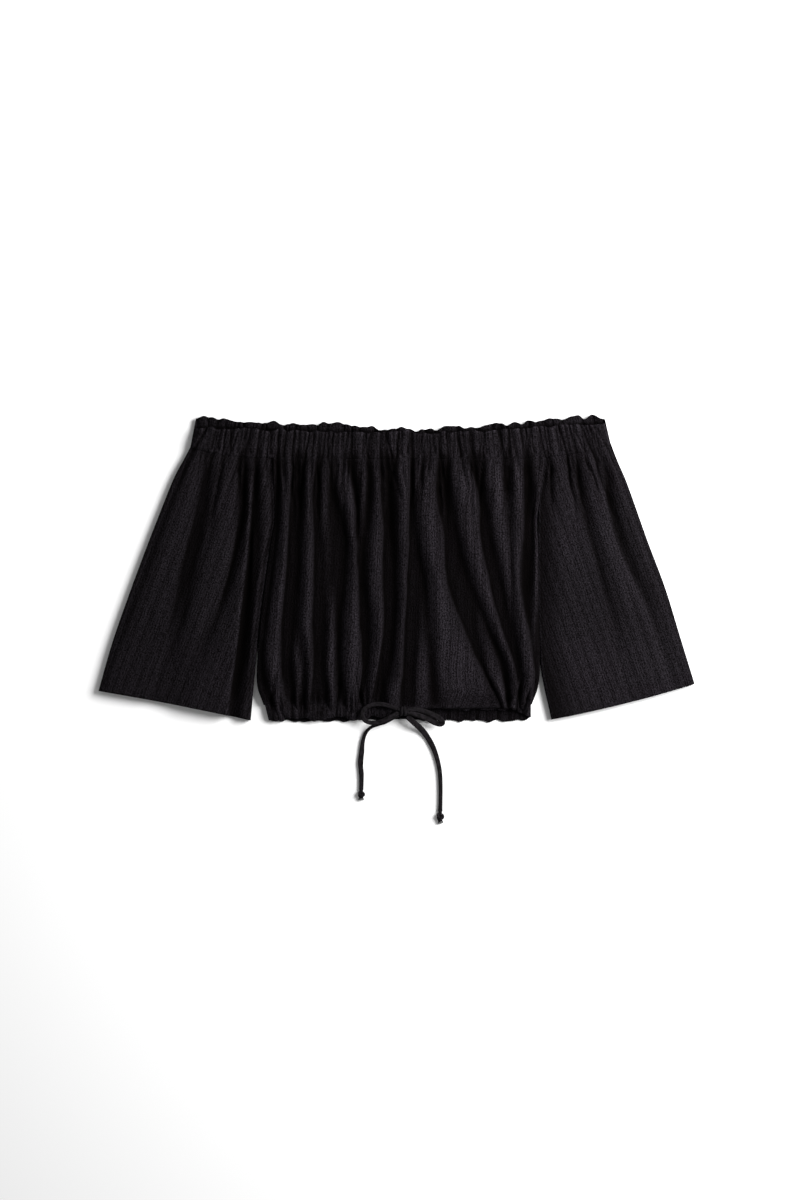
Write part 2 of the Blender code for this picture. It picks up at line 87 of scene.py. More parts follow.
def ease(share: np.ndarray | float) -> np.ndarray:
    """Eases 0..1 with level ends, and clips what lies outside.

    Args:
        share: The plain share.

    Returns:
        The eased share.
    """
    share = np.clip(share, 0.0, 1.0)
    return share * share * (3.0 - 2.0 * share)


def curve_at(stations: Curve, values: Curve, at: np.ndarray | float) -> np.ndarray:
    """Reads the smooth curve through values at stations that rise or fall.

    Args:
        stations: The places of the values.
        values: The values there.
        at: Where to read the curve. Past the ends it keeps the end value.

    Returns:
        The values at those places.
    """
    s, v = np.asarray(stations, float), np.asarray(values, float)
    if s[0] > s[-1]:
        s, v = s[::-1], v[::-1]
    last = len(s) - 1
    low = np.maximum(np.arange(last + 1) - 1, 0)
    high = np.minimum(np.arange(last + 1) + 1, last)
    slopes = (v[high] - v[low]) / (s[high] - s[low])
    at = np.clip(at, s[0], s[-1])
    i = np.clip(np.searchsorted(s, at, side="right") - 1, 0, last - 1)
    width = s[i + 1] - s[i]
    t = (at - s[i]) / width
    return (
        (2 * t**3 - 3 * t**2 + 1) * v[i]
        + (t**3 - 2 * t**2 + t) * width * slopes[i]
        + (3 * t**2 - 2 * t**3) * v[i + 1]
        + (t**3 - t**2) * width * slopes[i + 1]
    )


def unevenness(u: np.ndarray, v: np.ndarray, seed: int) -> np.ndarray:
    """A smooth random field, so that no gather is like its neighbour.

    Args:
        u: Place across, in lattice steps.
        v: Place along, in lattice steps.
        seed: Which field.

    Returns:
        Values from -1 to 1.
    """
    lattice = np.random.default_rng(seed).uniform(-1.0, 1.0, (LATTICE, LATTICE))
    u, v = np.broadcast_arrays(np.asarray(u, float) + 31.3, np.asarray(v, float) + 17.7)
    iu, iv = np.floor(u).astype(int), np.floor(v).astype(int)
    fu, fv = ease(u - iu), ease(v - iv)
    near, far = (
        lattice[iu % LATTICE, (iv + step) % LATTICE] * (1 - fu)
        + lattice[(iu + 1) % LATTICE, (iv + step) % LATTICE] * fu
        for step in (0, 1)
    )
    return near * (1 - fv) + far * fv


def softened(z: np.ndarray, passes: int, axis: int) -> np.ndarray:
    """Evens out a grid of heights along one axis.

    Args:
        z: The heights.
        passes: How many times each takes the mean with its two neighbours.
        axis: 0 down the rows, 1 along them.

    Returns:
        The evened heights.
    """
    z = np.moveaxis(z, axis, 0)
    for _ in range(passes):
        padded = np.concatenate([z[:1], z, z[-1:]])
        z = (padded[:-2] + 2 * padded[1:-1] + padded[2:]) / 4
    return np.moveaxis(z, 0, axis)


def gathers(u: np.ndarray, v: np.ndarray, pitch: float, seed: int) -> np.ndarray:
    """Round gathers with sharp valleys, unevenly spaced, that drift sideways as they run.

    Args:
        u: Place across the gathers, in metres.
        v: Place along them, in metres.
        pitch: The usual distance between two valleys.
        seed: Which set of gathers.

    Returns:
        Heights from 0 in a valley to about 1 on a crest.
    """
    wander = 0.42
    turns = u / pitch
    turns = turns + wander * unevenness(u / (1.9 * pitch), v / 0.021, seed)
    turns = turns + 0.22 * wander * unevenness(u / (0.8 * pitch), v / 0.009, seed + 1)
    crest = np.abs(np.sin(np.pi * turns)) ** 0.62
    full = 0.66 + 0.34 * unevenness(u / (1.3 * pitch), v / 0.026, seed + 2)
    return crest * full


@dataclass(frozen=True)
class Creases:
    """Creases that start at a gathered seam, each with its own place, lean, depth, width and reach.

    Those fields hold one number a crease. Lengths are metres, and a lean is the sideways step for
    each step along.
    """

    place: np.ndarray
    lean: np.ndarray
    depth: np.ndarray
    width: np.ndarray
    reach: np.ndarray
    seam: float
    down: float

    @classmethod
    def scattered(
        cls,
        ends: tuple[float, float],
        pitch: float,
        reach: float,
        seam: float,
        down: float,
        seed: int,
        fan: tuple[Curve, Curve],
    ) -> "Creases":
        """Spreads creases unevenly along a seam.

        Args:
            ends: The seam's two ends.
            pitch: The usual distance between two creases.
            reach: How far a usual crease runs on past the seam.
            seam: The seam's y.
            down: -1 where the creases fade below the seam, and 1 where they fade above it.
            seed: Which creases.
            fan: Places along the seam, and the creases' lean there.

        Returns:
            The creases.
        """
        chance = np.random.default_rng(seed)
        steps = pitch * np.clip(chance.lognormal(-0.08, 0.42, 200), 0.42, 1.9)
        place = ends[0] + np.cumsum(steps)
        place = place[place < ends[1]]
        count = len(place)
        lean = np.clip(curve_at(fan[0], fan[1], place) + chance.normal(0.0, 0.13, count), -0.42, 0.42)
        depth = np.clip(chance.beta(2.2, 1.4, count) * 1.15, 0.18, 1.0)
        width = MM * chance.uniform(1.1, 2.7, count) * (0.7 + 0.5 * depth)
        far = reach * np.clip(chance.lognormal(-0.15, 0.55, count), 0.25, 2.6) * (0.5 + 0.7 * depth)
        return cls(place, lean, depth, width, far, seam, down)

    @classmethod
    def placed(cls, rows: tuple[Curve, ...], seam: float, down: float) -> "Creases":
        """Creases given one by one.

        Args:
            rows: Each crease's place, lean, depth, width and reach, with lengths in millimetres.
            seam: The seam's y, in metres.
            down: -1 where the creases fade below the seam, and 1 where they fade above it.

        Returns:
            The creases.
        """
        place, lean, depth, width, reach = np.array(rows).T
        return cls(place * MM, lean, depth, width * MM, reach * MM, seam, down)

    def joined(self, rows: tuple[Curve, ...]) -> "Creases":
        """These creases and some more at the same seam.

        Args:
            rows: The new creases, as for placed.

        Returns:
            All of them.
        """
        more = Creases.placed(rows, self.seam, self.down)
        names = ("place", "lean", "depth", "width", "reach")
        both = (np.concatenate([getattr(self, name), getattr(more, name)]) for name in names)
        return Creases(*both, self.seam, self.down)

    def at(self, x: np.ndarray, y: np.ndarray) -> np.ndarray:
        """How deep the creases are at each place.

        Args:
            x: Places across.
            y: Places along.

        Returns:
            0 on smooth cloth, and up to 1 at the bottom of a crease.
        """
        total = np.zeros(np.broadcast(x, y).shape)
        past = (y - self.seam) * self.down
        row = y.mean(axis=-1, keepdims=True)
        for k, place in enumerate(self.place):
            own = row * 0 + 3.1 * k
            sway = 1.3 * MM * unevenness(row / 0.019, own, 401)
            sway = sway + 0.5 * MM * unevenness(row / 0.006, own, 402)
            # Across the seam a crease runs on almost straight
            centre = place + self.lean[k] * np.abs(past) * np.where(past > 0, 1.0, -0.75) + sway
            side = np.where(x > centre, 1.35, 0.75)
            kernel = np.exp(-((np.abs(x - centre) / (side * self.width[k])) ** 1.3))
            fade = np.where(past > 0, np.exp(-((np.maximum(past, 0) / self.reach[k]) ** 2)), 1.0)
            swell = 0.8 + 0.2 * unevenness(row / 0.011, row * 0 + 5.7 * k, 403)
            total = np.maximum(total, self.depth[k] * kernel * fade * swell)
        return total


@dataclass(frozen=True)
class FoldBand:
    """One fold that stands up from the cloth: it swells from its left line and drops at its right.

    All lines hold one number for each of the piece's stations, in millimetres.
    """

    name: str
    left: Curve
    right: Curve
    height: Curve
    rise: float
    drop: float


@dataclass(frozen=True)
class FoldMap:
    """The folds of one piece, and the stations (y, in millimetres) that their lines are given at."""

    stations: Curve
    bands: tuple[FoldBand, ...]

    def line(self, name: str, y: np.ndarray) -> np.ndarray:
        """The right line of the fold of that name, in metres, at y."""
        band = next(b for b in self.bands if b.name == name)
        return curve_at(self.stations, band.right, y / MM) * MM

    def painted_drop_shade(self, x: np.ndarray, y: np.ndarray) -> np.ndarray:
        """The painted shade on the steep drop to the right of each fold's crest, where the cloth tucks under:
        1 there, else 0.
        """
        x, y = x / MM, y / MM
        total = np.zeros(np.broadcast(x, y).shape)
        for band in self.bands:
            past = (x - curve_at(self.stations, band.right, y) + 1.1 * band.drop) / (1.2 * band.drop)
            tall = np.clip(curve_at(self.stations, band.height, y) / 8.0, 0, 1)
            total = np.maximum(total, tall * ease(past) * ease((2.0 - past) / 0.8))
        return total

    def heights(self, x: np.ndarray, y: np.ndarray) -> np.ndarray:
        """How far the folds stand up at each place.

        Args:
            x: Places across, in metres.
            y: Places along, in metres.

        Returns:
            Heights above the flat cloth, in metres.
        """
        x, y = x / MM, y / MM
        total = np.zeros(np.broadcast(x, y).shape)
        for k, band in enumerate(self.bands):
            stray = 0.5 * unevenness(y / 17.0, k * 3.0, 40 + k)
            left = curve_at(self.stations, band.left, y) + stray
            right = curve_at(self.stations, band.right, y) + stray
            height = np.maximum(curve_at(self.stations, band.height, y), 0.0)
            height = height * (1 + 0.10 * unevenness(y / 31.0, k * 5.0, 70 + k))
            rise = np.minimum(band.rise, np.maximum(right - left, 2.0))
            up = np.sin(np.pi / 2 * np.clip((x - left) / rise, 0, 1)) ** 1.15
            crown = 1 - 0.10 * np.clip((x - left) / np.maximum(right - left, 2.0), 0, 1) ** 3
            sunk = np.clip((x - right + 0.8 * band.drop) / (1.5 * band.drop), 0, 1)
            down = np.sqrt(np.clip(1 - sunk**2, 0, 1))
            total = np.maximum(total, height * up * crown * down)
        return total * MM


FRONT_FOLDS = FoldMap(
    (121.0, 84.7, 37.4, -9.9, -58.3, -105.6, -148.5),
    (
        FoldBand(
            "a", rise=14, drop=3,
            left=(-129.2, -130.4, -132.9, -138.1, -145.2, -148.2, -137.0),
            right=(-115.0, -118.3, -120.9, -123.8, -128.5, -127.8, -122.1),
            height=(4, 8, 9, 9, 9, 9, 5),
        ),
        FoldBand(
            "b_foot", rise=9, drop=3,
            left=(-110.6, -110.6, -110.6, -111.7, -113.9, -116.6, -111.7),
            right=(-108.4, -108.4, -108.4, -107.3, -106.7, -105.6, -106.2),
            height=(0, 0, 0, 0, 3, 6, 4),
        ),
        FoldBand(
            "b", rise=14, drop=3,
            left=(-100.7, -105.1, -107.8, -108.4, -110.6, -104.0, -102.9),
            right=(-89.7, -94.3, -92.7, -92.5, -94.1, -93.5, -97.4),
            height=(5, 8.5, 9, 9, 9, 9, 5),
        ),
        FoldBand(
            "c_streak", rise=9, drop=5,
            left=(-84.2, -86.4, -85.2, -83.1, -80.9, -80.9, -79.8),
            right=(-73.2, -76.5, -76.5, -74.2, -73.2, -73.2, -73.2),
            height=(4, 4, 3, 1, 0, 0, 0),
        ),
        FoldBand(
            "c_foot", rise=10, drop=3,
            left=(-80.9, -80.9, -80.9, -80.9, -80.3, -81.4, -76.5),
            right=(-69.9, -69.9, -69.9, -69.9, -69.3, -68.2, -66.6),
            height=(0, 0, 0, 1, 5, 6.5, 4),
        ),
        FoldBand(
            "c", rise=15, drop=3,
            left=(-73.2, -68.8, -56.7, -58.2, -62.2, -63.7, -57.8),
            right=(-56.7, -47.9, -45.9, -43.9, -41.6, -39.6, -45.7),
            height=(5, 8, 9, 9, 9.5, 9.5, 5),
        ),
        FoldBand(
            "d_small", rise=8, drop=3,
            left=(-43.5, -43.5, -43.5, -42.4, -42.4, -42.4, -42.4),
            right=(-33.6, -35.1, -38.5, -40.2, -40.2, -40.2, -40.2),
            height=(5, 6, 2, 0, 0, 0, 0),
        ),
        FoldBand(
            "d", rise=15, drop=3,
            left=(-28.1, -28.1, -33.6, -35.8, -31.4, -33.0, -40.2),
            right=(-19.2, -18.7, -16.0, -17.1, -15.4, -22.0, -31.4),
            height=(5, 7, 8, 8, 7.5, 6.5, 4),
        ),
        FoldBand(
            "e", rise=14, drop=2.6,
            left=(-2.8, -3.3, -3.3, -1.7, -2.8, -8.8, -20.4),
            right=(13.8, 13.1, 12.2, 10.1, 7.2, 5.0, 1.0),
            height=(6, 9, 9.5, 9.5, 9.5, 9, 5),
        ),
        FoldBand(
            "f_small", rise=10, drop=4,
            left=(18.2, 17.1, 18.2, 19.2, 19.2, 17.1, 16.0),
            right=(27.0, 27.0, 27.0, 30.3, 31.4, 33.6, 35.2),
            height=(5, 4, 1, 0, 2, 4.5, 4),
        ),
        FoldBand(
            "f", rise=16, drop=6,
            left=(29.2, 18.2, 20.4, 29.7, 33.6, 38.0, 43.5),
            right=(43.5, 40.2, 48.5, 51.7, 69.0, 89.9, 112.2),
            height=(5, 8, 9, 9.5, 8, 6.5, 3),
        ),
        FoldBand(
            "g_foot", rise=10, drop=3.5,
            left=(76.5, 76.5, 76.5, 76.5, 85.2, 95.2, 112.5),
            right=(80.9, 80.9, 80.9, 85.2, 96.3, 112.8, 121.4),
            height=(0, 0, 0, 0, 2, 4, 7),
        ),
        FoldBand(
            "g", rise=16, drop=3,
            left=(54.5, 58.3, 66.6, 78.7, 98.5, 119.6, 123.4),
            right=(76.0, 88.0, 90.8, 99.9, 112.8, 129.4, 132.6),
            height=(5.5, 8.5, 9, 9, 8.5, 8, 7),
        ),
        FoldBand(
            "h", rise=15, drop=5,
            left=(93.0, 95.2, 102.9, 113.9, 122.7, 127.1, 130.4),
            right=(115.0, 117.7, 121.0, 126.0, 129.2, 133.7, 133.7),
            height=(5, 7.5, 7.5, 6, 2, 0, 0),
        ),
        FoldBand(
            "i", rise=15, drop=3,
            left=(120.5, 120.5, 122.1, 121.0, 126.0, 134.0, 135.6),
            right=(140.2, 139.2, 138.1, 134.5, 142.5, 150.4, 144.4),
            height=(5.5, 8.5, 9, 9, 9, 9, 7),
        ),
        FoldBand(
            "j", rise=9, drop=3,
            left=(148.0, 149.1, 148.5, 147.4, 145.8, 145.8, 145.8),
            right=(163.4, 159.0, 157.9, 156.8, 152.9, 150.2, 150.2),
            height=(4, 6, 6.5, 6, 3, 0, 0),
        ),
    ),
)

LEFT_SLEEVE_FOLDS = FoldMap(
    (108.9, 61.6, 13.2, -34.1, -81.4, -128.7, -155.1),
    (
        FoldBand(
            "outer", rise=22, drop=9,
            left=(-238.2, -256.9, -274.5, -293.2, -310.8, -327.2, -331.7),
            right=(-217.3, -227.2, -239.8, -249.2, -260.2, -271.2, -276.7),
            height=(5, 5.5, 5, 4, 3, 2.5, 2),
        ),
        FoldBand(
            "middle", rise=22, drop=9,
            left=(-209.9, -212.4, -222.5, -232.4, -244.2, -254.9, -260.2),
            right=(-178.8, -179.9, -186.3, -199.1, -216.3, -232.2, -240.6),
            height=(4.5, 6, 6.5, 5.5, 3.5, 2, 1.5),
        ),
        FoldBand(
            "roll", rise=34, drop=3,
            left=(-168.9, -168.2, -178.4, -193.2, -217.5, -241.8, -252.1),
            right=(-158.4, -160.6, -164.5, -170.3, -175.5, -182.1, -185.8),
            height=(3, 7, 8.5, 8.5, 8, 7, 6),
        ),
        FoldBand(
            "inner", rise=10, drop=4,
            left=(-153.5, -153.5, -154.0, -159.0, -162.8, -166.7, -170.0),
            right=(-134.8, -135.9, -142.5, -147.6, -152.4, -156.8, -161.2),
            height=(3.5, 4, 4, 4, 3.5, 2.5, 1.5),
        ),
    ),
)

RIGHT_SLEEVE_FOLDS = FoldMap(
    (108.9, 61.6, 13.2, -34.1, -89.1, -133.1, -160.6),
    (
        FoldBand(
            "inner", rise=26, drop=9,
            left=(163.4, 161.2, 161.2, 162.2, 164.5, 171.1, 175.5),
            right=(187.6, 199.7, 212.9, 223.9, 236.0, 247.0, 252.5),
            height=(3.4, 3.8, 3.4, 2.8, 2.2, 1.6, 1.2),
        ),
        FoldBand(
            "middle", rise=24, drop=7,
            left=(198.6, 208.5, 219.5, 231.6, 244.8, 256.9, 261.2),
            right=(224.1, 229.0, 244.6, 267.4, 285.5, 297.6, 303.1),
            height=(4.6, 5.6, 5.0, 3.8, 2.6, 1.6, 1.4),
        ),
        FoldBand(
            "outer", rise=16, drop=14,
            left=(236.0, 239.3, 254.7, 276.7, 294.2, 309.7, 314.1),
            right=(240.7, 252.2, 268.9, 287.6, 306.2, 316.2, 319.5),
            height=(1.6, 2, 2, 1.6, 1.2, 0.9, 0.8),
        ),
    ),
)


@dataclass(frozen=True)
class Outline:
    """The garment's main lines, as its solids have them: named columns over one station column."""

    names: tuple[str, ...]
    rows: tuple[Curve, ...]

    def at(self, name: str, place: np.ndarray | float) -> np.ndarray:
        """The named line, read at a place on the first column."""
        columns = list(zip(*self.rows))
        return curve_at(columns[0], columns[self.names.index(name)], place)


NECK = Outline(
    ("x", "front_seam", "front_edge", "back_seam", "back_edge"),
    (
        (-0.2270, 0.1342, 0.1545, 0.1342, 0.1660),
        (-0.2162, 0.1304, 0.1552, 0.1364, 0.1676),
        (-0.1810, 0.1243, 0.1546, 0.1342, 0.1645),
        (-0.1370, 0.1221, 0.1529, 0.1304, 0.1601),
        (-0.0677, 0.1216, 0.1507, 0.1260, 0.1584),
        (0.0039, 0.1210, 0.1502, 0.1232, 0.1529),
        (0.0809, 0.1216, 0.1507, 0.1260, 0.1562),
        (0.1634, 0.1232, 0.1562, 0.1320, 0.1628),
        (0.2074, 0.1287, 0.1590, 0.1353, 0.1667),
        (0.2261, 0.1337, 0.1600, 0.1375, 0.1678),
        (0.2360, 0.1375, 0.1600, 0.1375, 0.1650),
    ),
)

HEM = Outline(
    ("x", "front_top", "front_edge", "back_top", "back_edge", "gathers"),
    (
        (-0.1452, -0.1485, -0.1662, -0.1485, -0.1668, 1.0),
        (-0.1062, -0.1485, -0.1656, -0.1496, -0.1674, 1.0),
        (-0.0512, -0.1474, -0.1645, -0.1496, -0.1666, 1.0),
        (-0.0127, -0.1463, -0.1628, -0.1496, -0.1662, 0.7),
        (0.0094, -0.1441, -0.1573, -0.1496, -0.1664, 0.2),
        (0.0314, -0.1419, -0.1549, -0.1496, -0.1670, 0.1),
        (0.0699, -0.1414, -0.1547, -0.1496, -0.1676, 0.1),
        (0.1139, -0.1419, -0.1542, -0.1496, -0.1670, 0.1),
        (0.1337, -0.1441, -0.1568, -0.1496, -0.1662, 0.4),
        (0.1480, -0.1478, -0.1632, -0.1478, -0.1632, 1.0),
    ),
)

SIDES = Outline(
    ("y", "left", "right"),
    (
        (0.1400, -0.1366, 0.1640),
        (0.1221, -0.1364, 0.1634),
        (0.1034, -0.1356, 0.1612),
        (0.0759, -0.1345, 0.1576),
        (0.0517, -0.1345, 0.1545),
        (0.0264, -0.1392, 0.1556),
        (-0.0011, -0.1430, 0.1560),
        (-0.0341, -0.1474, 0.1565),
        (-0.0671, -0.1512, 0.1572),
        (-0.1001, -0.1532, 0.1578),
        (-0.1276, -0.1532, 0.1562),
        (-0.1485, -0.1462, 0.1490),
    ),
)

LEFT_ARMPIT_Y = 0.0517
RIGHT_ARMPIT_Y = 0.0759
NECK_LINE_Y = 0.1221
HEM_LINE_Y = -0.1485
HEM_FOLDS_Y = -0.1480
BACK_NECK_Y = 0.1260
BACK_HEM_Y = -0.1496
RIGHT_GATHERS_Y = -0.1445
NECK_ENDS = (-0.2300, 0.2390)
FRILL_TAPER = 0.027

LEFT_SLEEVE_LINES = Outline(
    ("share", "inner_x", "inner_y", "outer_x", "outer_y"),
    (
        (0.00, -0.1367, 0.1218, -0.2266, 0.1339),
        (0.12, -0.1357, 0.0870, -0.2442, 0.1020),
        (0.24, -0.1348, 0.0517, -0.2574, 0.0698),
        (0.40, -0.1432, 0.0057, -0.2742, 0.0268),
        (0.60, -0.1503, -0.0518, -0.2941, -0.0268),
        (0.80, -0.1556, -0.1092, -0.3128, -0.0805),
        (1.00, -0.1606, -0.1667, -0.3282, -0.1342),
    ),
)

RIGHT_SLEEVE_LINES = Outline(
    ("share", "inner_x", "inner_y", "outer_x", "outer_y"),
    (
        (0.00, 0.1637, 0.1229, 0.2360, 0.1372),
        (0.08, 0.1609, 0.0990, 0.2442, 0.1170),
        (0.16, 0.1579, 0.0759, 0.2536, 0.0953),
        (0.40, 0.1570, 0.0069, 0.2762, 0.0319),
        (0.60, 0.1573, -0.0506, 0.2960, -0.0209),
        (0.80, 0.1588, -0.1081, 0.3122, -0.0737),
        (1.00, 0.1705, -0.1656, 0.3284, -0.1265),
    ),
)


NECK_CREASES = Creases.scattered(
    NECK_ENDS,
    pitch=7.8 * MM,
    reach=34 * MM,
    seam=NECK_LINE_Y,
    down=-1.0,
    seed=7,
    fan=((-0.2300, -0.1500, -0.1300, 0.1450, 0.1700, 0.2390), (-0.36, -0.10, 0.0, 0.0, 0.08, 0.34)),
).joined(
    (
        (-189.0, -0.20, 0.85, 2.0, 70.0),
        (-171.0, -0.12, 0.95, 2.4, 60.0),
        (-155.0, -0.05, 0.9, 2.2, 60.0),
        (-132.0, 0.0, 0.95, 2.4, 50.0),
        (-108.5, 0.04, 1.0, 3.0, 60.0),
        (-87.0, 0.0, 0.8, 1.9, 50.0),
        (-72.5, -0.06, 0.85, 1.9, 40.0),
        (-50.0, 0.10, 1.0, 2.9, 70.0),
        (-31.0, 0.0, 0.85, 2.0, 40.0),
        (-11.5, 0.06, 1.0, 2.9, 70.0),
        (16.0, 0.0, 0.9, 1.9, 50.0),
        (28.0, -0.05, 0.8, 1.7, 40.0),
        (49.0, 0.10, 1.0, 2.7, 60.0),
        (85.0, 0.08, 0.95, 2.7, 60.0),
        (117.5, 0.03, 1.0, 2.5, 50.0),
        (144.5, 0.0, 0.95, 2.1, 50.0),
        (168.0, 0.05, 0.9, 2.0, 50.0),
        (197.0, 0.14, 0.85, 2.2, 60.0),
        (222.0, 0.26, 0.85, 2.0, 60.0),
    )
)
HEM_CREASES_LEFT = Creases.scattered(
    (-0.1440, -0.0080),
    pitch=6.6 * MM,
    reach=20 * MM,
    seam=HEM_LINE_Y,
    down=1.0,
    seed=11,
    fan=((-0.1440, -0.1000, -0.0080), (0.10, 0.0, -0.05)),
)
HEM_CREASES_RIGHT = Creases.placed(
    (
        (111.6, -0.50, 0.8, 1.4, 24.0),
        (122.0, -0.20, 0.95, 1.5, 26.0),
        (132.6, 0.22, 0.95, 1.4, 20.0),
        (141.8, 0.24, 0.9, 1.3, 18.0),
    ),
    seam=RIGHT_GATHERS_Y,
    down=1.0,
)
# Raised ridges between the right-hand gathers, held in the same form as creases; the front is also painted
# lighter on them, as a painted highlight
HEM_RIDGES = Creases.placed(
    (
        (116.2, -0.25, 1.0, 2.3, 15.0),
        (128.1, 0.32, 1.0, 2.2, 20.0),
        (137.2, 0.26, 0.95, 2.0, 15.0),
        (146.4, 0.26, 0.9, 1.7, 13.0),
    ),
    seam=RIGHT_GATHERS_Y,
    down=1.0,
)


def linear(colour: str) -> tuple[float, float, float, float]:
    """Turns an sRGB hex colour into linear red, green and blue, with full alpha."""
    parts = [int(colour[k : k + 2], 16) / 255 for k in (1, 3, 5)]
    red, green, blue = (c / 12.92 if c <= 0.04045 else ((c + 0.055) / 1.055) ** 2.4 for c in parts)
    return red, green, blue, 1.0


def add_node(
    tree: bpy.types.NodeTree, kind: str, settings: dict | None = None, inputs: dict | None = None
) -> bpy.types.Node:
    """Adds one node with its settings and its inputs.

    Args:
        tree: The node tree.
        kind: The node's type name.
        settings: Attributes of the node.
        inputs: Socket name or number to a value, or to the socket that it is linked from.

    Returns:
        The new node.
    """
    node = tree.nodes.new(kind)
    for key, value in (settings or {}).items():
        setattr(node, key, value)
    for key, value in (inputs or {}).items():
        if isinstance(value, bpy.types.NodeSocket):
            tree.links.new(value, node.inputs[key])
        else:
            node.inputs[key].default_value = value
    return node


def multiplied(
    tree: bpy.types.NodeTree, first: bpy.types.NodeSocket, second: bpy.types.NodeSocket | float
) -> bpy.types.NodeSocket:
    """The product of two sockets, or of a socket and a number."""
    node = add_node(tree, "ShaderNodeMath", {"operation": "MULTIPLY"}, {0: first, 1: second})
    return node.outputs["Value"]


def remapped(
    tree: bpy.types.NodeTree,
    value: bpy.types.NodeSocket,
    span: tuple[float, float],
    onto: tuple[float, float],
    kind: str = "LINEAR",
) -> bpy.types.NodeSocket:
    """A value carried from one span onto another, and kept inside it.

    Args:
        tree: The node tree.
        value: The value's socket.
        span: The span that it comes from.
        onto: The span that it goes to.
        kind: The node's interpolation.

    Returns:
        The result's socket.
    """
    inputs = {"Value": value, "From Min": span[0], "From Max": span[1], "To Min": onto[0], "To Max": onto[1]}
    return add_node(tree, "ShaderNodeMapRange", {"interpolation_type": kind}, inputs).outputs["Result"]


def coloured(
    tree: bpy.types.NodeTree, factor: bpy.types.NodeSocket, low: str, high: str, clamped: bool = True
) -> None:
    """Gives a material's shader a mix of two colours.

    Args:
        tree: The node tree.
        factor: 0 for the first colour and 1 for the second.
        low: The first colour.
        high: The second colour.
        clamped: Whether a factor above 1 counts as 1.
    """
    settings = {"data_type": "RGBA", "clamp_factor": clamped}
    mixed = add_node(tree, "ShaderNodeMix", settings, {"Factor": factor, 6: linear(low), 7: linear(high)})
    tree.links.new(mixed.outputs[2], tree.nodes["Principled BSDF"].inputs["Base Color"])


def embossed(tree: bpy.types.NodeTree, height: bpy.types.NodeSocket, distance: float) -> None:
    """Gives a material's shader a relief that is this distance deep, in metres."""
    bump = add_node(tree, "ShaderNodeBump", inputs={"Height": height, "Strength": 1.0, "Distance": distance})
    tree.links.new(bump.outputs["Normal"], tree.nodes["Principled BSDF"].inputs["Normal"])


def new_material(name: str, roughness: float, shine: float) -> bpy.types.Material:
    """Starts a material of one plain shader.

    Args:
        name: Its name.
        roughness: The shader's roughness.
        shine: The shader's specular level.

    Returns:
        The material.
    """
    material = bpy.data.materials.new(name)
    material.use_nodes = True
    shader = material.node_tree.nodes["Principled BSDF"]
    shader.inputs["Roughness"].default_value = roughness
    shader.inputs["Specular IOR Level"].default_value = shine
    return material


def new_object(name: str, data: bpy.types.ID) -> bpy.types.Object:
    """Puts a new object with this mesh, lamp or camera into the scene."""
    obj = bpy.data.objects.new(name, data)
    bpy.context.scene.collection.objects.link(obj)
    return obj


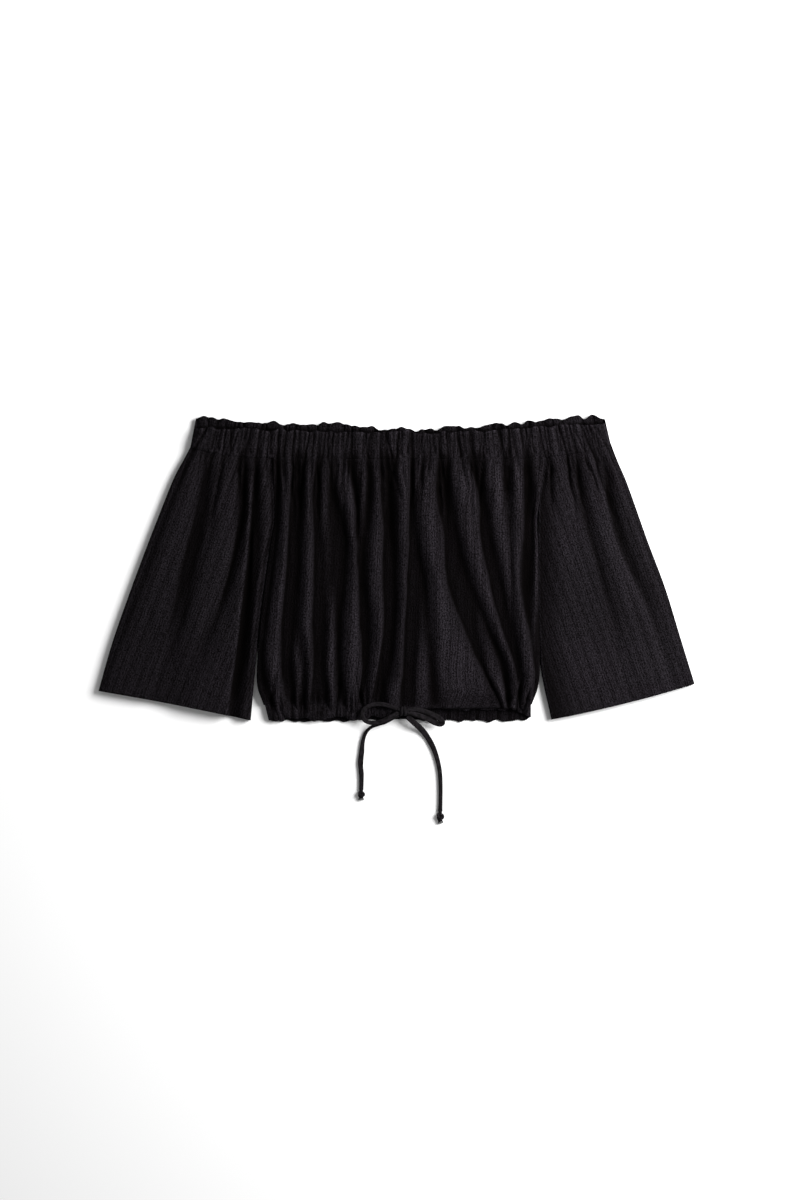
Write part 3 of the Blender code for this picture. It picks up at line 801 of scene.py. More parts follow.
@dataclass(frozen=True)
class CrinkleCrepe:
    """Black crinkled crepe, woven of hard-twisted yarn and washed, so that it shrinks into fine ribs.

    The eye sees soft black with fine uneven ribs along the grain, a heavier rib every centimetre or
    so, pale specks of fibre, and almost no shine. The crests of the folds are painted lighter and
    their hollows painted darker through the shade attribute. The weights say how much each layer of
    the weave adds to the relief.
    """

    name: str = "black_crinkle_crepe"
    # The lit colour, and the painted shade colour of the hollows
    crest: str = "#252226"
    hollow: str = "#040303"
    roughness: float = 0.86
    shine: float = 0.01
    rib_mm: float = 3.1
    rib_weight: float = 0.24
    crinkle_mm: float = 1.25
    crinkle_weight: float = 1.35
    thread_mm: float = 1.0
    thread_weight: float = 2.6
    heavy_rib_mm: float = 11.5
    heavy_rib_weight: float = 0.10
    cloud_mm: float = 16.0
    relief_mm: float = 1.1

    def build(self) -> bpy.types.Material:
        """Builds the material on the piece's own UV map, which is in metres.

        Returns:
            The material.
        """
        material = new_material(self.name, self.roughness, self.shine)
        tree = material.node_tree
        uv = add_node(tree, "ShaderNodeUVMap", {"uv_map": "grain"}).outputs["UV"]
        ribs = self._bands(tree, uv, self.rib_mm, 14.0, 4.5)
        heavy = self._bands(tree, uv, self.heavy_rib_mm, 240.0, 6.0)
        crinkle = self._speckle(tree, uv, self.crinkle_mm, 6.0, 2.0)
        thread = self._speckle(tree, uv, self.thread_mm, 1.7, 1.0)
        cloud = self._speckle(tree, uv, self.cloud_mm, 110.0, 1.0)
        relief = multiplied(tree, ribs, self.rib_weight)
        for part, share in (
            (crinkle, self.crinkle_weight),
            (thread, self.thread_weight),
            (heavy, self.heavy_rib_weight),
        ):
            inputs = {0: part, 1: share, 2: relief}
            node = add_node(tree, "ShaderNodeMath", {"operation": "MULTIPLY_ADD"}, inputs)
            relief = node.outputs["Value"]
        embossed(tree, relief, self.relief_mm * MM / 2)
        lint = remapped(tree, relief, (1.80, 2.62), (0.08, 1.30))
        stripe = remapped(tree, heavy, (0.0, 0.24), (0.80, 1.0), "SMOOTHSTEP")
        streak = remapped(tree, cloud, (0.32, 0.68), (0.86, 1.10))
        # Painted shade and highlight: the shade attribute darkens the cloth's hollows and lightens its
        # crests; stripe and streak are the weave's own tone
        shade = add_node(tree, "ShaderNodeAttribute", {"attribute_name": "shade"}).outputs["Fac"]
        painted_shade_and_tone = multiplied(tree, shade, multiplied(tree, stripe, streak))
        coloured(tree, multiplied(tree, painted_shade_and_tone, lint), self.hollow, self.crest, clamped=False)
        return material

    def _bands(
        self,
        tree: bpy.types.NodeTree,
        uv: bpy.types.NodeSocket,
        pitch_mm: float,
        along_mm: float,
        stray: float,
    ) -> bpy.types.NodeSocket:
        """Ribs along the grain that stray as they run.

        Args:
            tree: The node tree.
            uv: The grain coordinates.
            pitch_mm: From one rib to the next.
            along_mm: How far a rib runs before it strays.
            stray: How much it strays, in radians of the ribs' wave.

        Returns:
            The height's socket.
        """
        scale = (1000.0 / pitch_mm, 1000.0 / along_mm, 1.0)
        mapped = add_node(tree, "ShaderNodeMapping", inputs={"Vector": uv, "Scale": scale}).outputs["Vector"]
        # One wave of the bands is 0.31416 units long at scale 1
        wave = add_node(
            tree,
            "ShaderNodeTexWave",
            {"wave_type": "BANDS", "bands_direction": "X", "wave_profile": "SIN"},
            {"Vector": mapped, "Scale": 0.31416, "Distortion": stray, "Detail": 2.0, "Detail Scale": 1.2},
        )
        return wave.outputs["Fac"]

    def _speckle(
        self,
        tree: bpy.types.NodeTree,
        uv: bpy.types.NodeSocket,
        across_mm: float,
        along_mm: float,
        detail: float,
    ) -> bpy.types.NodeSocket:
        """Uneven specks of one size across the grain and another along it.

        Args:
            tree: The node tree.
            uv: The grain coordinates.
            across_mm: Their size across the grain.
            along_mm: Their size along it.
            detail: The noise's detail.

        Returns:
            The height's socket.
        """
        scale = (1000.0 / across_mm, 1000.0 / along_mm, 1.0)
        mapped = add_node(tree, "ShaderNodeMapping", inputs={"Vector": uv, "Scale": scale}).outputs["Vector"]
        inputs = {"Vector": mapped, "Scale": 1.0, "Detail": detail, "Roughness": 0.6}
        return add_node(tree, "ShaderNodeTexNoise", inputs=inputs).outputs["Fac"]


@dataclass(frozen=True)
class TieCloth:
    """The same crepe turned into a narrow tube, pulled a little shiny by tying."""

    name: str = "black_crepe_tie"
    crest: str = "#1b181b"
    hollow: str = "#0a0909"
    roughness: float = 0.74
    shine: float = 0.04
    wrinkle_mm: float = 1.6
    relief_mm: float = 0.5

    def build(self) -> bpy.types.Material:
        """Builds the material on the cord's UV map: u is turns round it and v is metres along it.

        Returns:
            The material.
        """
        material = new_material(self.name, self.roughness, self.shine)
        tree = material.node_tree
        uv = add_node(tree, "ShaderNodeUVMap", {"uv_map": "grain"}).outputs["UV"]
        scale = (5.0, 1000.0 / (2.6 * self.wrinkle_mm), 1.0)
        inputs = {"Vector": uv, "Rotation": (0.0, 0.0, 0.5), "Scale": scale}
        mapped = add_node(tree, "ShaderNodeMapping", inputs=inputs).outputs["Vector"]
        inputs = {"Vector": mapped, "Scale": 1.0, "Detail": 3.0, "Roughness": 0.6}
        wrinkle = add_node(tree, "ShaderNodeTexNoise", inputs=inputs).outputs["Fac"]
        embossed(tree, wrinkle, self.relief_mm * MM)
        coloured(tree, remapped(tree, wrinkle, (0.36, 0.64), (0.0, 1.0)), self.hollow, self.crest)
        return material


@dataclass(frozen=True)
class SewingThread:
    """Black polyester sewing thread: a little smoother and brighter than the crepe's hollows."""

    name: str = "black_sewing_thread"
    colour: str = "#090809"
    hollow: str = "#070607"
    roughness: float = 0.7
    shine: float = 0.03

    def build(self) -> bpy.types.Material:
        """Builds the material, with a slight unevenness along the thread.

        Returns:
            The material.
        """
        material = new_material(self.name, self.roughness, self.shine)
        tree = material.node_tree
        place = add_node(tree, "ShaderNodeTexCoord").outputs["Object"]
        noise = add_node(tree, "ShaderNodeTexNoise", inputs={"Vector": place, "Scale": 900.0, "Detail": 1.0})
        coloured(tree, noise.outputs["Fac"], self.hollow, self.colour)
        return material


@dataclass(frozen=True)
class Finishes:
    """The built materials that the pieces share."""

    crepe: bpy.types.Material
    tie: bpy.types.Material
    thread: bpy.types.Material


@dataclass
class ClothSheet:
    """A grid of points on the outer face of a piece of cloth, and what its material reads there: the
    grain, and the painted shade that darkens hollows and lightens crests.

    Rows run from the neck end down, and points along a row so that the outer face is on the left.
    """

    name: str
    points: np.ndarray
    grain: np.ndarray
    shade: np.ndarray

    def flipped(self) -> "ClothSheet":
        """The same sheet walked the other way, so that its outer face is below."""
        return ClothSheet(self.name, self.points[:, ::-1], self.grain[:, ::-1], self.shade[:, ::-1])

    def make(self, material: bpy.types.Material) -> bpy.types.Object:
        """Makes the shell.

        Args:
            material: Its finish.

        Returns:
            The object, with its wall as a Solidify modifier.
        """
        rows, columns = self.points.shape[:2]
        index = np.arange(rows * columns).reshape(rows, columns)
        closes = np.linalg.norm(self.points[:, 0] - self.points[:, -1], axis=1) < 1e-7
        index[closes, -1] = index[closes, 0]
        used, packed = np.unique(index, return_inverse=True)
        packed = packed.reshape(rows, columns)
        quads = np.stack(self._corners(packed), axis=2).reshape(-1, 4)
        corners = np.stack(self._corners(self.grain), axis=2)
        mesh = bpy.data.meshes.new(self.name)
        mesh.from_pydata(self.points.reshape(-1, 3)[used].tolist(), [], quads.tolist())
        layer = mesh.uv_layers.new(name="grain")
        layer.data.foreach_set("uv", corners.reshape(-1).astype(np.float32))
        shade = mesh.attributes.new("shade", "FLOAT", "POINT")
        shade.data.foreach_set("value", self.shade.reshape(-1)[used].astype(np.float32))
        mesh.shade_smooth()
        mesh.materials.append(material)
        obj = new_object(self.name, mesh)
        wall = obj.modifiers.new("wall", "SOLIDIFY")
        wall.thickness = WALL
        wall.offset = -1.0
        return obj

    @staticmethod
    def _corners(grid: np.ndarray) -> list[np.ndarray]:
        """The four corners of each quad of a grid, in the order of its face."""
        return [grid[:-1, :-1], grid[1:, :-1], grid[1:, 1:], grid[:-1, 1:]]


def hollow_shade(z: np.ndarray, reach: int, depth: float) -> np.ndarray:
    """Painted shade from how far each place stands proud of its surroundings: 0 in a deep hollow, 1 on a
    crest.

    Args:
        z: Heights on a grid, in metres.
        reach: How many passes of evening out give the surroundings.
        depth: The height that counts as full.

    Returns:
        The shade for the material.
    """
    around = softened(softened(z, reach, 1), reach // 3, 0)
    return np.clip(FLAT_SHADE + (z - around) / (2 * depth), 0.0, 1.0)


def hem_crease_depth(x: np.ndarray, y: np.ndarray) -> np.ndarray:
    """The creases above the front of the hem and in it, on both gathered stretches."""
    level = y - HEM.at("front_top", x)
    left = HEM_CREASES_LEFT.at(x, level + HEM_CREASES_LEFT.seam)
    right = HEM_CREASES_RIGHT.at(x, level + HEM_CREASES_RIGHT.seam)
    return np.maximum(left * ease(HEM.at("gathers", x) / 0.6), right)


def spaced(count: int, crowding: float) -> np.ndarray:
    """Shares from 0 up to, but without, 1, closer together near both ends."""
    s = np.arange(count) / count
    return s - crowding * np.sin(2 * np.pi * s) / (2 * np.pi)


def edge_arc(steps: int) -> tuple[np.ndarray, np.ndarray]:
    """Across a pressed edge: shares of its width and of its height, from the seam inwards."""
    angle = np.pi / 2 * np.arange(steps) / steps
    return (1 - np.cos(angle)) ** 2, np.sin(angle)


def neck_crease_depth(x: np.ndarray, y: np.ndarray) -> np.ndarray:
    """The creases below the front's neck seam and in its casing, carried along its curve."""
    return NECK_CREASES.at(x, y - NECK.at("front_seam", x) + NECK_LINE_Y)


def armhole_opening(y: np.ndarray, armpit: float) -> np.ndarray:
    """How far the armhole stands open, from 1 at the neck to 0 at the armpit and below."""
    share = np.clip((NECK_LINE_Y - y) / (NECK_LINE_Y - armpit), 0, 1)
    return np.sqrt(1 - share**2)


@dataclass
class BodyPanels:
    """The gathered front, with its folds, and the back that lies on the surface."""

    rows: int = 150
    column_mm: float = 1.15
    edge_steps: int = 6
    back_rows: int = 84
    back_columns: int = 132
    puff: float = 0.0016
    guides: tuple[str, ...] = ("a", "b", "c", "d", "e", "f", "g", "i")
    front_cut: tuple[float, float] = (0.46, 0.31)
    back_cut: tuple[float, float] = (0.36, 0.30)

    def front(self) -> ClothSheet:
        """Works out the front panel.

        Returns:
            Its sheet.
        """
        share = np.linspace(0.0, 1.0, self.rows)[:, None]
        level = NECK_LINE_Y + (HEM_LINE_Y - NECK_LINE_Y) * share
        left, right = SIDES.at("left", level), SIDES.at("right", level)
        x = self._front_columns(left, right, level)
        along = np.broadcast_to(level, x.shape)
        folds = softened(FRONT_FOLDS.heights(x, along), 1, 1)
        gathered = ease(HEM.at("gathers", x))
        top = NECK.at("front_seam", x) + 1.4 * MM
        bottom = self._puffed_bottom(x, folds, gathered)
        y = top + (bottom - top) * share
        neck_creases, hem_creases = neck_crease_depth(x, y), hem_crease_depth(x, y)
        near_hem = ease((share - 0.62) / 0.25)
        ridges = HEM_RIDGES.at(x, y - HEM.at("front_top", x) + HEM_RIDGES.seam) * ease((share - 0.80) / 0.08)

        settled = ease(share / 0.12) * ease((1 - share) / 0.07)
        pinch = (0.30 + 0.70 * ease(share / 0.14)) * (0.55 + 0.45 * ease((1.0 - share) / 0.09))
        z = TOP + self.puff * settled + folds * pinch
        z = z + 2.6 * MM * (1 - ease(share / 0.16)) - (2.6 + 3.9 * ease(share / 0.06)) * MM * neck_creases
        z = z - 5.6 * MM * hem_creases * near_hem
        z = z + 1.8 * MM * ridges
        z = z + 0.45 * MM * unevenness(x / 0.007, y / 0.024, 5)
        z = z + 0.25 * MM * unevenness(x / 0.0035, y / 0.011, 6)
        z = z - 0.5 * MM * np.clip(1 - (top - y) / (1.6 * MM), 0, 1)
        # The turned hem's rim, where it lies flat, and the cloth that curls in under the hem casing
        z = z + 0.7 * MM * (1 - gathered) * np.exp(-(((y - bottom - 1.7 * MM) / (1.0 * MM)) ** 2))
        curl = np.clip(1 - (y - bottom) / ((1.0 + 4.5 * gathered) * MM), 0, 1)
        z = z - (1 - np.sqrt(1 - curl**2)) * (z - TOP + (1.0 + 1.4 * gathered) * MM)
        z = self._over_edges(z, x, left, right, level, upper=True)

        # Painted shade: the valleys between the folds, the creases at the neck and hem, the steep drop beside
        # each crest and the hollows are darkened, and the raised ridges at the hem are painted lighter
        valley = 0.14 + 0.86 * ease(folds / (6.3 * MM))
        clear = ease((share + 0.03) / 0.05) * ease((1.03 - share) / 0.06)
        shade = 1 + (valley - 1) * clear
        shade = shade * (1 - 0.95 * neck_creases) * (1 - 0.78 * hem_creases * near_hem)
        shade = shade * (1 - 0.5 * FRONT_FOLDS.painted_drop_shade(x, along))
        shade = np.maximum(shade, 1.1 * ridges)
        shade = np.clip(shade + 0.35 * (hollow_shade(z, 30, HOLLOW_DEPTH) - FLAT_SHADE), 0, 1.15)
        grain = self._grain(x, softened(z, 2, 1), y)
        return ClothSheet("front_cloth", np.stack([x, y, z], axis=-1), grain, shade)

    def _front_columns(self, left: np.ndarray, right: np.ndarray, level: np.ndarray) -> np.ndarray:
        """Where the front's points lie across: their columns follow the folds.

        Args:
            left: The left edge, row by row.
            right: The right edge.
            level: The height up the body of each row.

        Returns:
            Places across, row by row.
        """
        inner_left, inner_right = left + EDGE, right - EDGE
        lines = [inner_left, *(FRONT_FOLDS.line(name, level) for name in self.guides), inner_right]
        for k in range(len(lines) - 2, 0, -1):
            lines[k] = np.minimum(lines[k], lines[k + 1] - 1.2 * MM)
        out = edge_arc(self.edge_steps)[0][None, :]
        columns = [left + (inner_left - left) * out]
        for a, b in zip(lines, lines[1:]):
            count = max(10, round(float((b - a).mean()) / (self.column_mm * MM)))
            columns.append(a + (b - a) * spaced(count, 0.55)[None, :])
        columns.append(inner_right)
        columns.append(right + (inner_right - right) * out[:, ::-1])
        return np.concatenate(columns, axis=1)

    def _puffed_bottom(self, x: np.ndarray, folds: np.ndarray, gathered: np.ndarray) -> np.ndarray:
        """The front's lower end: it puffs over the casing where the hem is gathered.

        Args:
            x: Places across, row by row.
            folds: The folds' heights.
            gathered: How much the hem is gathered, from 0 to 1.

        Returns:
            The lower end's y.
        """
        ridge = np.clip(folds[-6:-5] / (5.0 * MM), 0, 1)
        longest = 13.5 * MM * (0.88 + 0.22 * unevenness(x / 0.019, 0 * x, 9))
        puffed = HEM.at("front_top", x) - 1.2 * MM - longest * ease(ridge / 0.8)
        plain = HEM.at("front_edge", x) + 0.6 * MM
        return plain + (puffed - plain) * gathered

    def back(self) -> ClothSheet:
        """Works out the back panel, with shallow pressed creases on its under side.

        Returns:
            Its sheet.
        """
        share = np.linspace(0.0, 1.0, self.back_rows)[:, None]
        level = BACK_NECK_Y + (BACK_HEM_Y - BACK_NECK_Y) * share
        left, right = SIDES.at("left", level), SIDES.at("right", level)
        out = edge_arc(self.edge_steps)[0][None, :]
        flat = left + EDGE + (right - left - 2 * EDGE) * np.linspace(0.0, 1.0, self.back_columns)[None, :]
        x = np.concatenate([left + EDGE * out, flat, right - EDGE * out[:, ::-1]], axis=1)
        top = NECK.at("back_seam", x) + 0.8 * MM
        bottom = HEM.at("back_top", x) - 0.8 * MM
        y = top + (bottom - top) * share
        ends = np.maximum(1 - ease(share / 0.30), 0.8 * ease((share - 0.75) / 0.22))
        z = 0.9 * MM * (1 - gathers(x, y, 10.5 * MM, 23)) ** 2 * (0.25 + 0.75 * ends)
        z = self._over_edges(z, x, left, right, level, upper=False)
        grain = np.stack([x, y], axis=-1)
        sheet = ClothSheet("back_cloth", np.stack([x, y, z], axis=-1), grain, np.full(x.shape, 0.5))
        return sheet.flipped()

    def _over_edges(
        self,
        z: np.ndarray,
        x: np.ndarray,
        left: np.ndarray,
        right: np.ndarray,
        level: np.ndarray,
        upper: bool,
    ) -> np.ndarray:
        """Brings a layer round to the heights of its two side seams.

        Args:
            z: Its heights.
            x: Its places across.
            left: Its left edge, row by row.
            right: Its right edge.
            level: The height up the body of each row.
            upper: Whether it is the upper layer.

        Returns:
            The heights, bent round at the edges.
        """
        for edge, armpit in ((left, LEFT_ARMPIT_Y), (right, RIGHT_ARMPIT_Y)):
            opened = armhole_opening(level, armpit)
            if upper:
                seam = MID + 1.1 * MM + (TOP - MID - 1.1 * MM) * opened
            else:
                seam = MID * (1 - opened)
            inside = np.clip(np.abs(x - edge) / EDGE, 0, 1)
            up = np.sin(np.arccos(np.clip(1 - np.sqrt(inside), 0, 1)))
            z = seam + (z - seam) * up
        return z

    def _grain(self, x: np.ndarray, z: np.ndarray, y: np.ndarray) -> np.ndarray:
        """Thread coordinates: u follows the cloth over its folds, and both sides keep one width.

        Args:
            x: Places across.
            z: Heights, evened out.
            y: Places along.

        Returns:
            Grain coordinates in metres.
        """
        steps = np.hypot(np.diff(x, axis=1), np.diff(z, axis=1))
        run = np.concatenate([np.zeros((len(x), 1)), np.cumsum(steps, axis=1)], axis=1)
        centre = int(np.argmin(np.abs(x[0])))
        run = run - run[:, centre : centre + 1]
        for side, end in ((run <= 0, run[:, :1]), (run > 0, run[:, -1:])):
            width = np.abs(end)
            run = np.where(side, run * width.mean() / width, run)
        return np.stack([run, y], axis=-1)


@dataclass(frozen=True)
class SleeveGrid:
    """The points all round a sleeve before their heights, and what they are worked out from.

    The top holds the upper layer's distances from the inner edge, turn the angles round the outer
    edge, upper the upper layer's columns, and the folds, creases and pleat belong to that layer.
    """

    x: np.ndarray
    y: np.ndarray
    share: np.ndarray
    width: np.ndarray
    top: np.ndarray
    turn: np.ndarray
    upper: slice
    folds: np.ndarray
    creases: np.ndarray
    pleat: np.ndarray


@dataclass(frozen=True)
class Sleeve:
    """A flared sleeve: a tube that is open at the neck, at the cuff and along the armhole.

    Its bow is how far the lines across it curve down in the middle, and its pleat is how deep the
    one beside the roll is. Valley, shade level and corner set the painted shade of its hollows, of
    the whole sleeve and of its inner corner.
    """

    name: str
    lines: Outline
    folds: FoldMap
    guides: tuple[str, ...]
    armpit_share: float
    bow: float
    cut: tuple[float, float]
    pleat: float
    seed: int
    valley: float
    shade_level: float
    corner: float = 0.0
    rows: int = 132
    top_columns: int = 106
    under_columns: int = 34
    edge_steps: int = 5

    def sheet(self) -> ClothSheet:
        """Works out the sleeve all round.

        Returns:
            Its sheet.
        """
        share = np.linspace(0.0, 1.0, self.rows)[:, None]
        inner_x, inner_y, outer_x, outer_y = (self.lines.at(name, share) for name in self.lines.names[1:])
        inner_x = inner_x - np.sign(outer_x[0, 0]) * 2.0 * MM * (1 - ease((share - 0.50) / 0.3))
        width = np.hypot(outer_x - inner_x, outer_y - inner_y)
        flat = width - 2 * EDGE
        top = EDGE + flat * self._top_shares(inner_x, inner_y, outer_x, outer_y)
        turn = np.pi * (0.5 - np.arange(1, 2 * self.edge_steps) / (2 * self.edge_steps))[None, :]
        under = width - EDGE - flat * np.linspace(0, 1, self.under_columns)[None, :]
        inner_edge = EDGE * edge_arc(self.edge_steps)[0][None, :] + 0 * width
        distance = np.concatenate(
            [inner_edge, top, width - EDGE + EDGE * np.cos(turn), under, inner_edge[:, ::-1]], axis=1
        )
        x = inner_x + (outer_x - inner_x) * distance / width
        y = inner_y + (outer_y - inner_y) * distance / width
        above = np.arange(x.shape[1]) < 2 * self.edge_steps + top.shape[1]
        seam_y = np.where(above, NECK.at("front_seam", x[0]), NECK.at("back_seam", x[0]))
        y = y + (seam_y - y[0])[None, :] * (1 - ease(share / 0.3)) + 1.0 * MM * (1 - ease(share / 0.05))
        y = y - 4 * self.bow * (distance / width) * (1 - distance / width) * ease(share)
        upper = slice(self.edge_steps, self.edge_steps + top.shape[1])
        xs, ys = x[:, upper], y[:, upper]
        folds, creases, pleat = self.folds.heights(xs, ys), neck_crease_depth(xs, ys), self._pleat(xs, ys)
        grid = SleeveGrid(x, y, share, width, top, turn, upper, folds, creases, pleat)
        z = self._heights(grid)
        shade = np.full(x.shape, 0.55)
        shade[:, upper] = self._upper_shade(grid, z[:, upper])
        along = Vector((float(outer_x[-1, 0] - outer_x[0, 0]), float(outer_y[-1, 0] - outer_y[0, 0])))
        along.normalize()
        u = x * -along.y + y * along.x + 1.3 * self.seed * MM
        grain = np.stack([u, -(x * along.x + y * along.y)], axis=-1)
        sheet = ClothSheet(self.name, np.stack([x, y, z], axis=-1), grain, shade)
        return sheet.flipped() if outer_x[0, 0] < inner_x[0, 0] else sheet

    def _upper_shade(self, grid: SleeveGrid, z: np.ndarray) -> np.ndarray:
        """The upper layer's painted shade: darker in its valleys, creases and pleat, in its inner corner,
        at its inner edge and in its hollows, with the valleys lighter near the outer edge and the cuff,
        all scaled by the sleeve's shade level.

        Args:
            grid: The sleeve's points.
            z: The upper layer's heights.

        Returns:
            The shade for the material.
        """
        share, top, width = grid.share, grid.top, grid.width
        valley = self.valley + (1 - self.valley) * ease(grid.folds / (4.6 * MM))
        rim = 1 - ease((width - top) / (18.0 * MM))
        valley = valley + (1 - valley) * np.maximum(0.8 * rim, 0.70 * ease((share - 0.50) / 0.4))
        shade_level = self.shade_level * (1 + (valley - 1) * (0.5 + 0.5 * ease(share / 0.08)))
        shade_level = shade_level * (1 - np.clip(1.25 * grid.creases, 0, 0.95))
        shade_level = shade_level * (1 - 0.93 * grid.pleat * (1 - 0.6 * ease((share - 0.84) / 0.12)))
        corner = (1 - ease(top / width / 0.24)) * (0.30 + 0.70 * ease((share - 0.60) / 0.3))
        shade_level = shade_level * (1 - self.corner * corner)
        inner = (1 - ease((top - 2.5 * MM) / (5.5 * MM))) * ease(share / 0.1)
        shade_level = shade_level * (1 - 0.7 * inner * (1 - 0.7 * ease((share - 0.85) / 0.1)))
        return np.clip(shade_level + 0.4 * (hollow_shade(z, 30, HOLLOW_DEPTH) - FLAT_SHADE), 0, 1)

    def _top_shares(
        self, inner_x: np.ndarray, inner_y: np.ndarray, outer_x: np.ndarray, outer_y: np.ndarray
    ) -> np.ndarray:
        """Where the upper layer's columns lie across its flat part, so that they follow the folds.

        Args:
            inner_x: The inner edge, row by row.
            inner_y: The same.
            outer_x: The outer edge.
            outer_y: The same.

        Returns:
            Shares across, one row for each row of the sleeve.
        """
        lines = [np.zeros_like(inner_x)]
        for name in self.guides:
            across = np.full_like(inner_x, 0.4)
            for _ in range(3):
                line = self.folds.line(name, inner_y + (outer_y - inner_y) * across)
                across = (line - inner_x) / (outer_x - inner_x)
            lines.append(across)
        lines.append(np.ones_like(inner_x))
        lines.sort(key=lambda line: float(line.mean()))
        for k in range(1, len(lines)):
            lines[k] = np.clip(lines[k], lines[k - 1] + 0.02, 1.0)
        shares = []
        for a, b in zip(lines, lines[1:]):
            count = max(6, round(float((b - a).mean()) * self.top_columns))
            shares.append(a + (b - a) * spaced(count, 0.45)[None, :])
        return np.concatenate([*shares, lines[-1]], axis=1)

    def _heights(self, grid: SleeveGrid) -> np.ndarray:
        """The heights all round the section.

        Args:
            grid: The sleeve's points.

        Returns:
            Heights in metres.
        """
        share, top, steps = grid.share, grid.top, self.edge_steps
        x, y = grid.x[:, grid.upper], grid.y[:, grid.upper]
        opened = np.sqrt(np.maximum(0, 1 - (share / self.armpit_share) ** 2))
        upper_seam = MID - 0.8 * MM + (MID + 0.8 * MM) * opened
        lower_seam = (MID - 0.8 * MM) * (1 - opened)
        settled = ease((share + 0.03) / 0.16)
        window = ease((top - EDGE) / 0.004) * ease((grid.width - EDGE - top) / 0.006)
        bands = softened(grid.folds, 1, 1)
        layer = TOP + (bands * settled - self.pleat * grid.pleat * settled) * window
        lift = 2.6 * MM * (1 - ease(share / 0.16)) - (2.6 + 3.4 * ease(share / 0.06)) * MM * grid.creases
        layer = layer + (lift - 0.5 * MM * np.clip(1 - share / 0.008, 0, 1)) * window
        rough = 0.40 * MM * unevenness(x / 0.009, y / 0.03, 33 + self.seed)
        rough = rough + 0.22 * MM * unevenness(x / 0.004, y / 0.013, 34 + self.seed)
        layer = layer + rough * window
        arc = edge_arc(steps)[1][None, :]
        rising = upper_seam + (layer[:, :1] - upper_seam) * arc
        outer = MID + MID * np.sin(grid.turn) + 0 * grid.width
        below = slice(grid.upper.stop + 2 * steps - 1, -steps)
        creased = (1 - gathers(grid.x[:, below], grid.y[:, below], 14 * MM, 37 + self.seed)) ** 2
        under = 0.7 * MM * creased * (0.3 + 0.7 * (1 - ease((share - 0.02) / 0.20)))
        falling = lower_seam + (0 - lower_seam) * arc[:, ::-1]
        return np.concatenate([rising, layer, outer, under, falling], axis=1)

    def _pleat(self, x: np.ndarray, y: np.ndarray) -> np.ndarray:
        """How deep the pleat beside the roll is at each place, from 0 to 1."""
        if not self.pleat:
            return np.zeros(x.shape)
        start = self.folds.line("roll", y)
        width = (3.0 + 15.0 * ease((0.075 - y) / 0.180)) * MM
        near_side = ease((x - start + 0.0005) / 0.0020)
        far_side = 1 - ease((x - start - 0.3 * width) / (0.7 * width))
        return near_side * far_side * ease((0.088 - y) / 0.022)


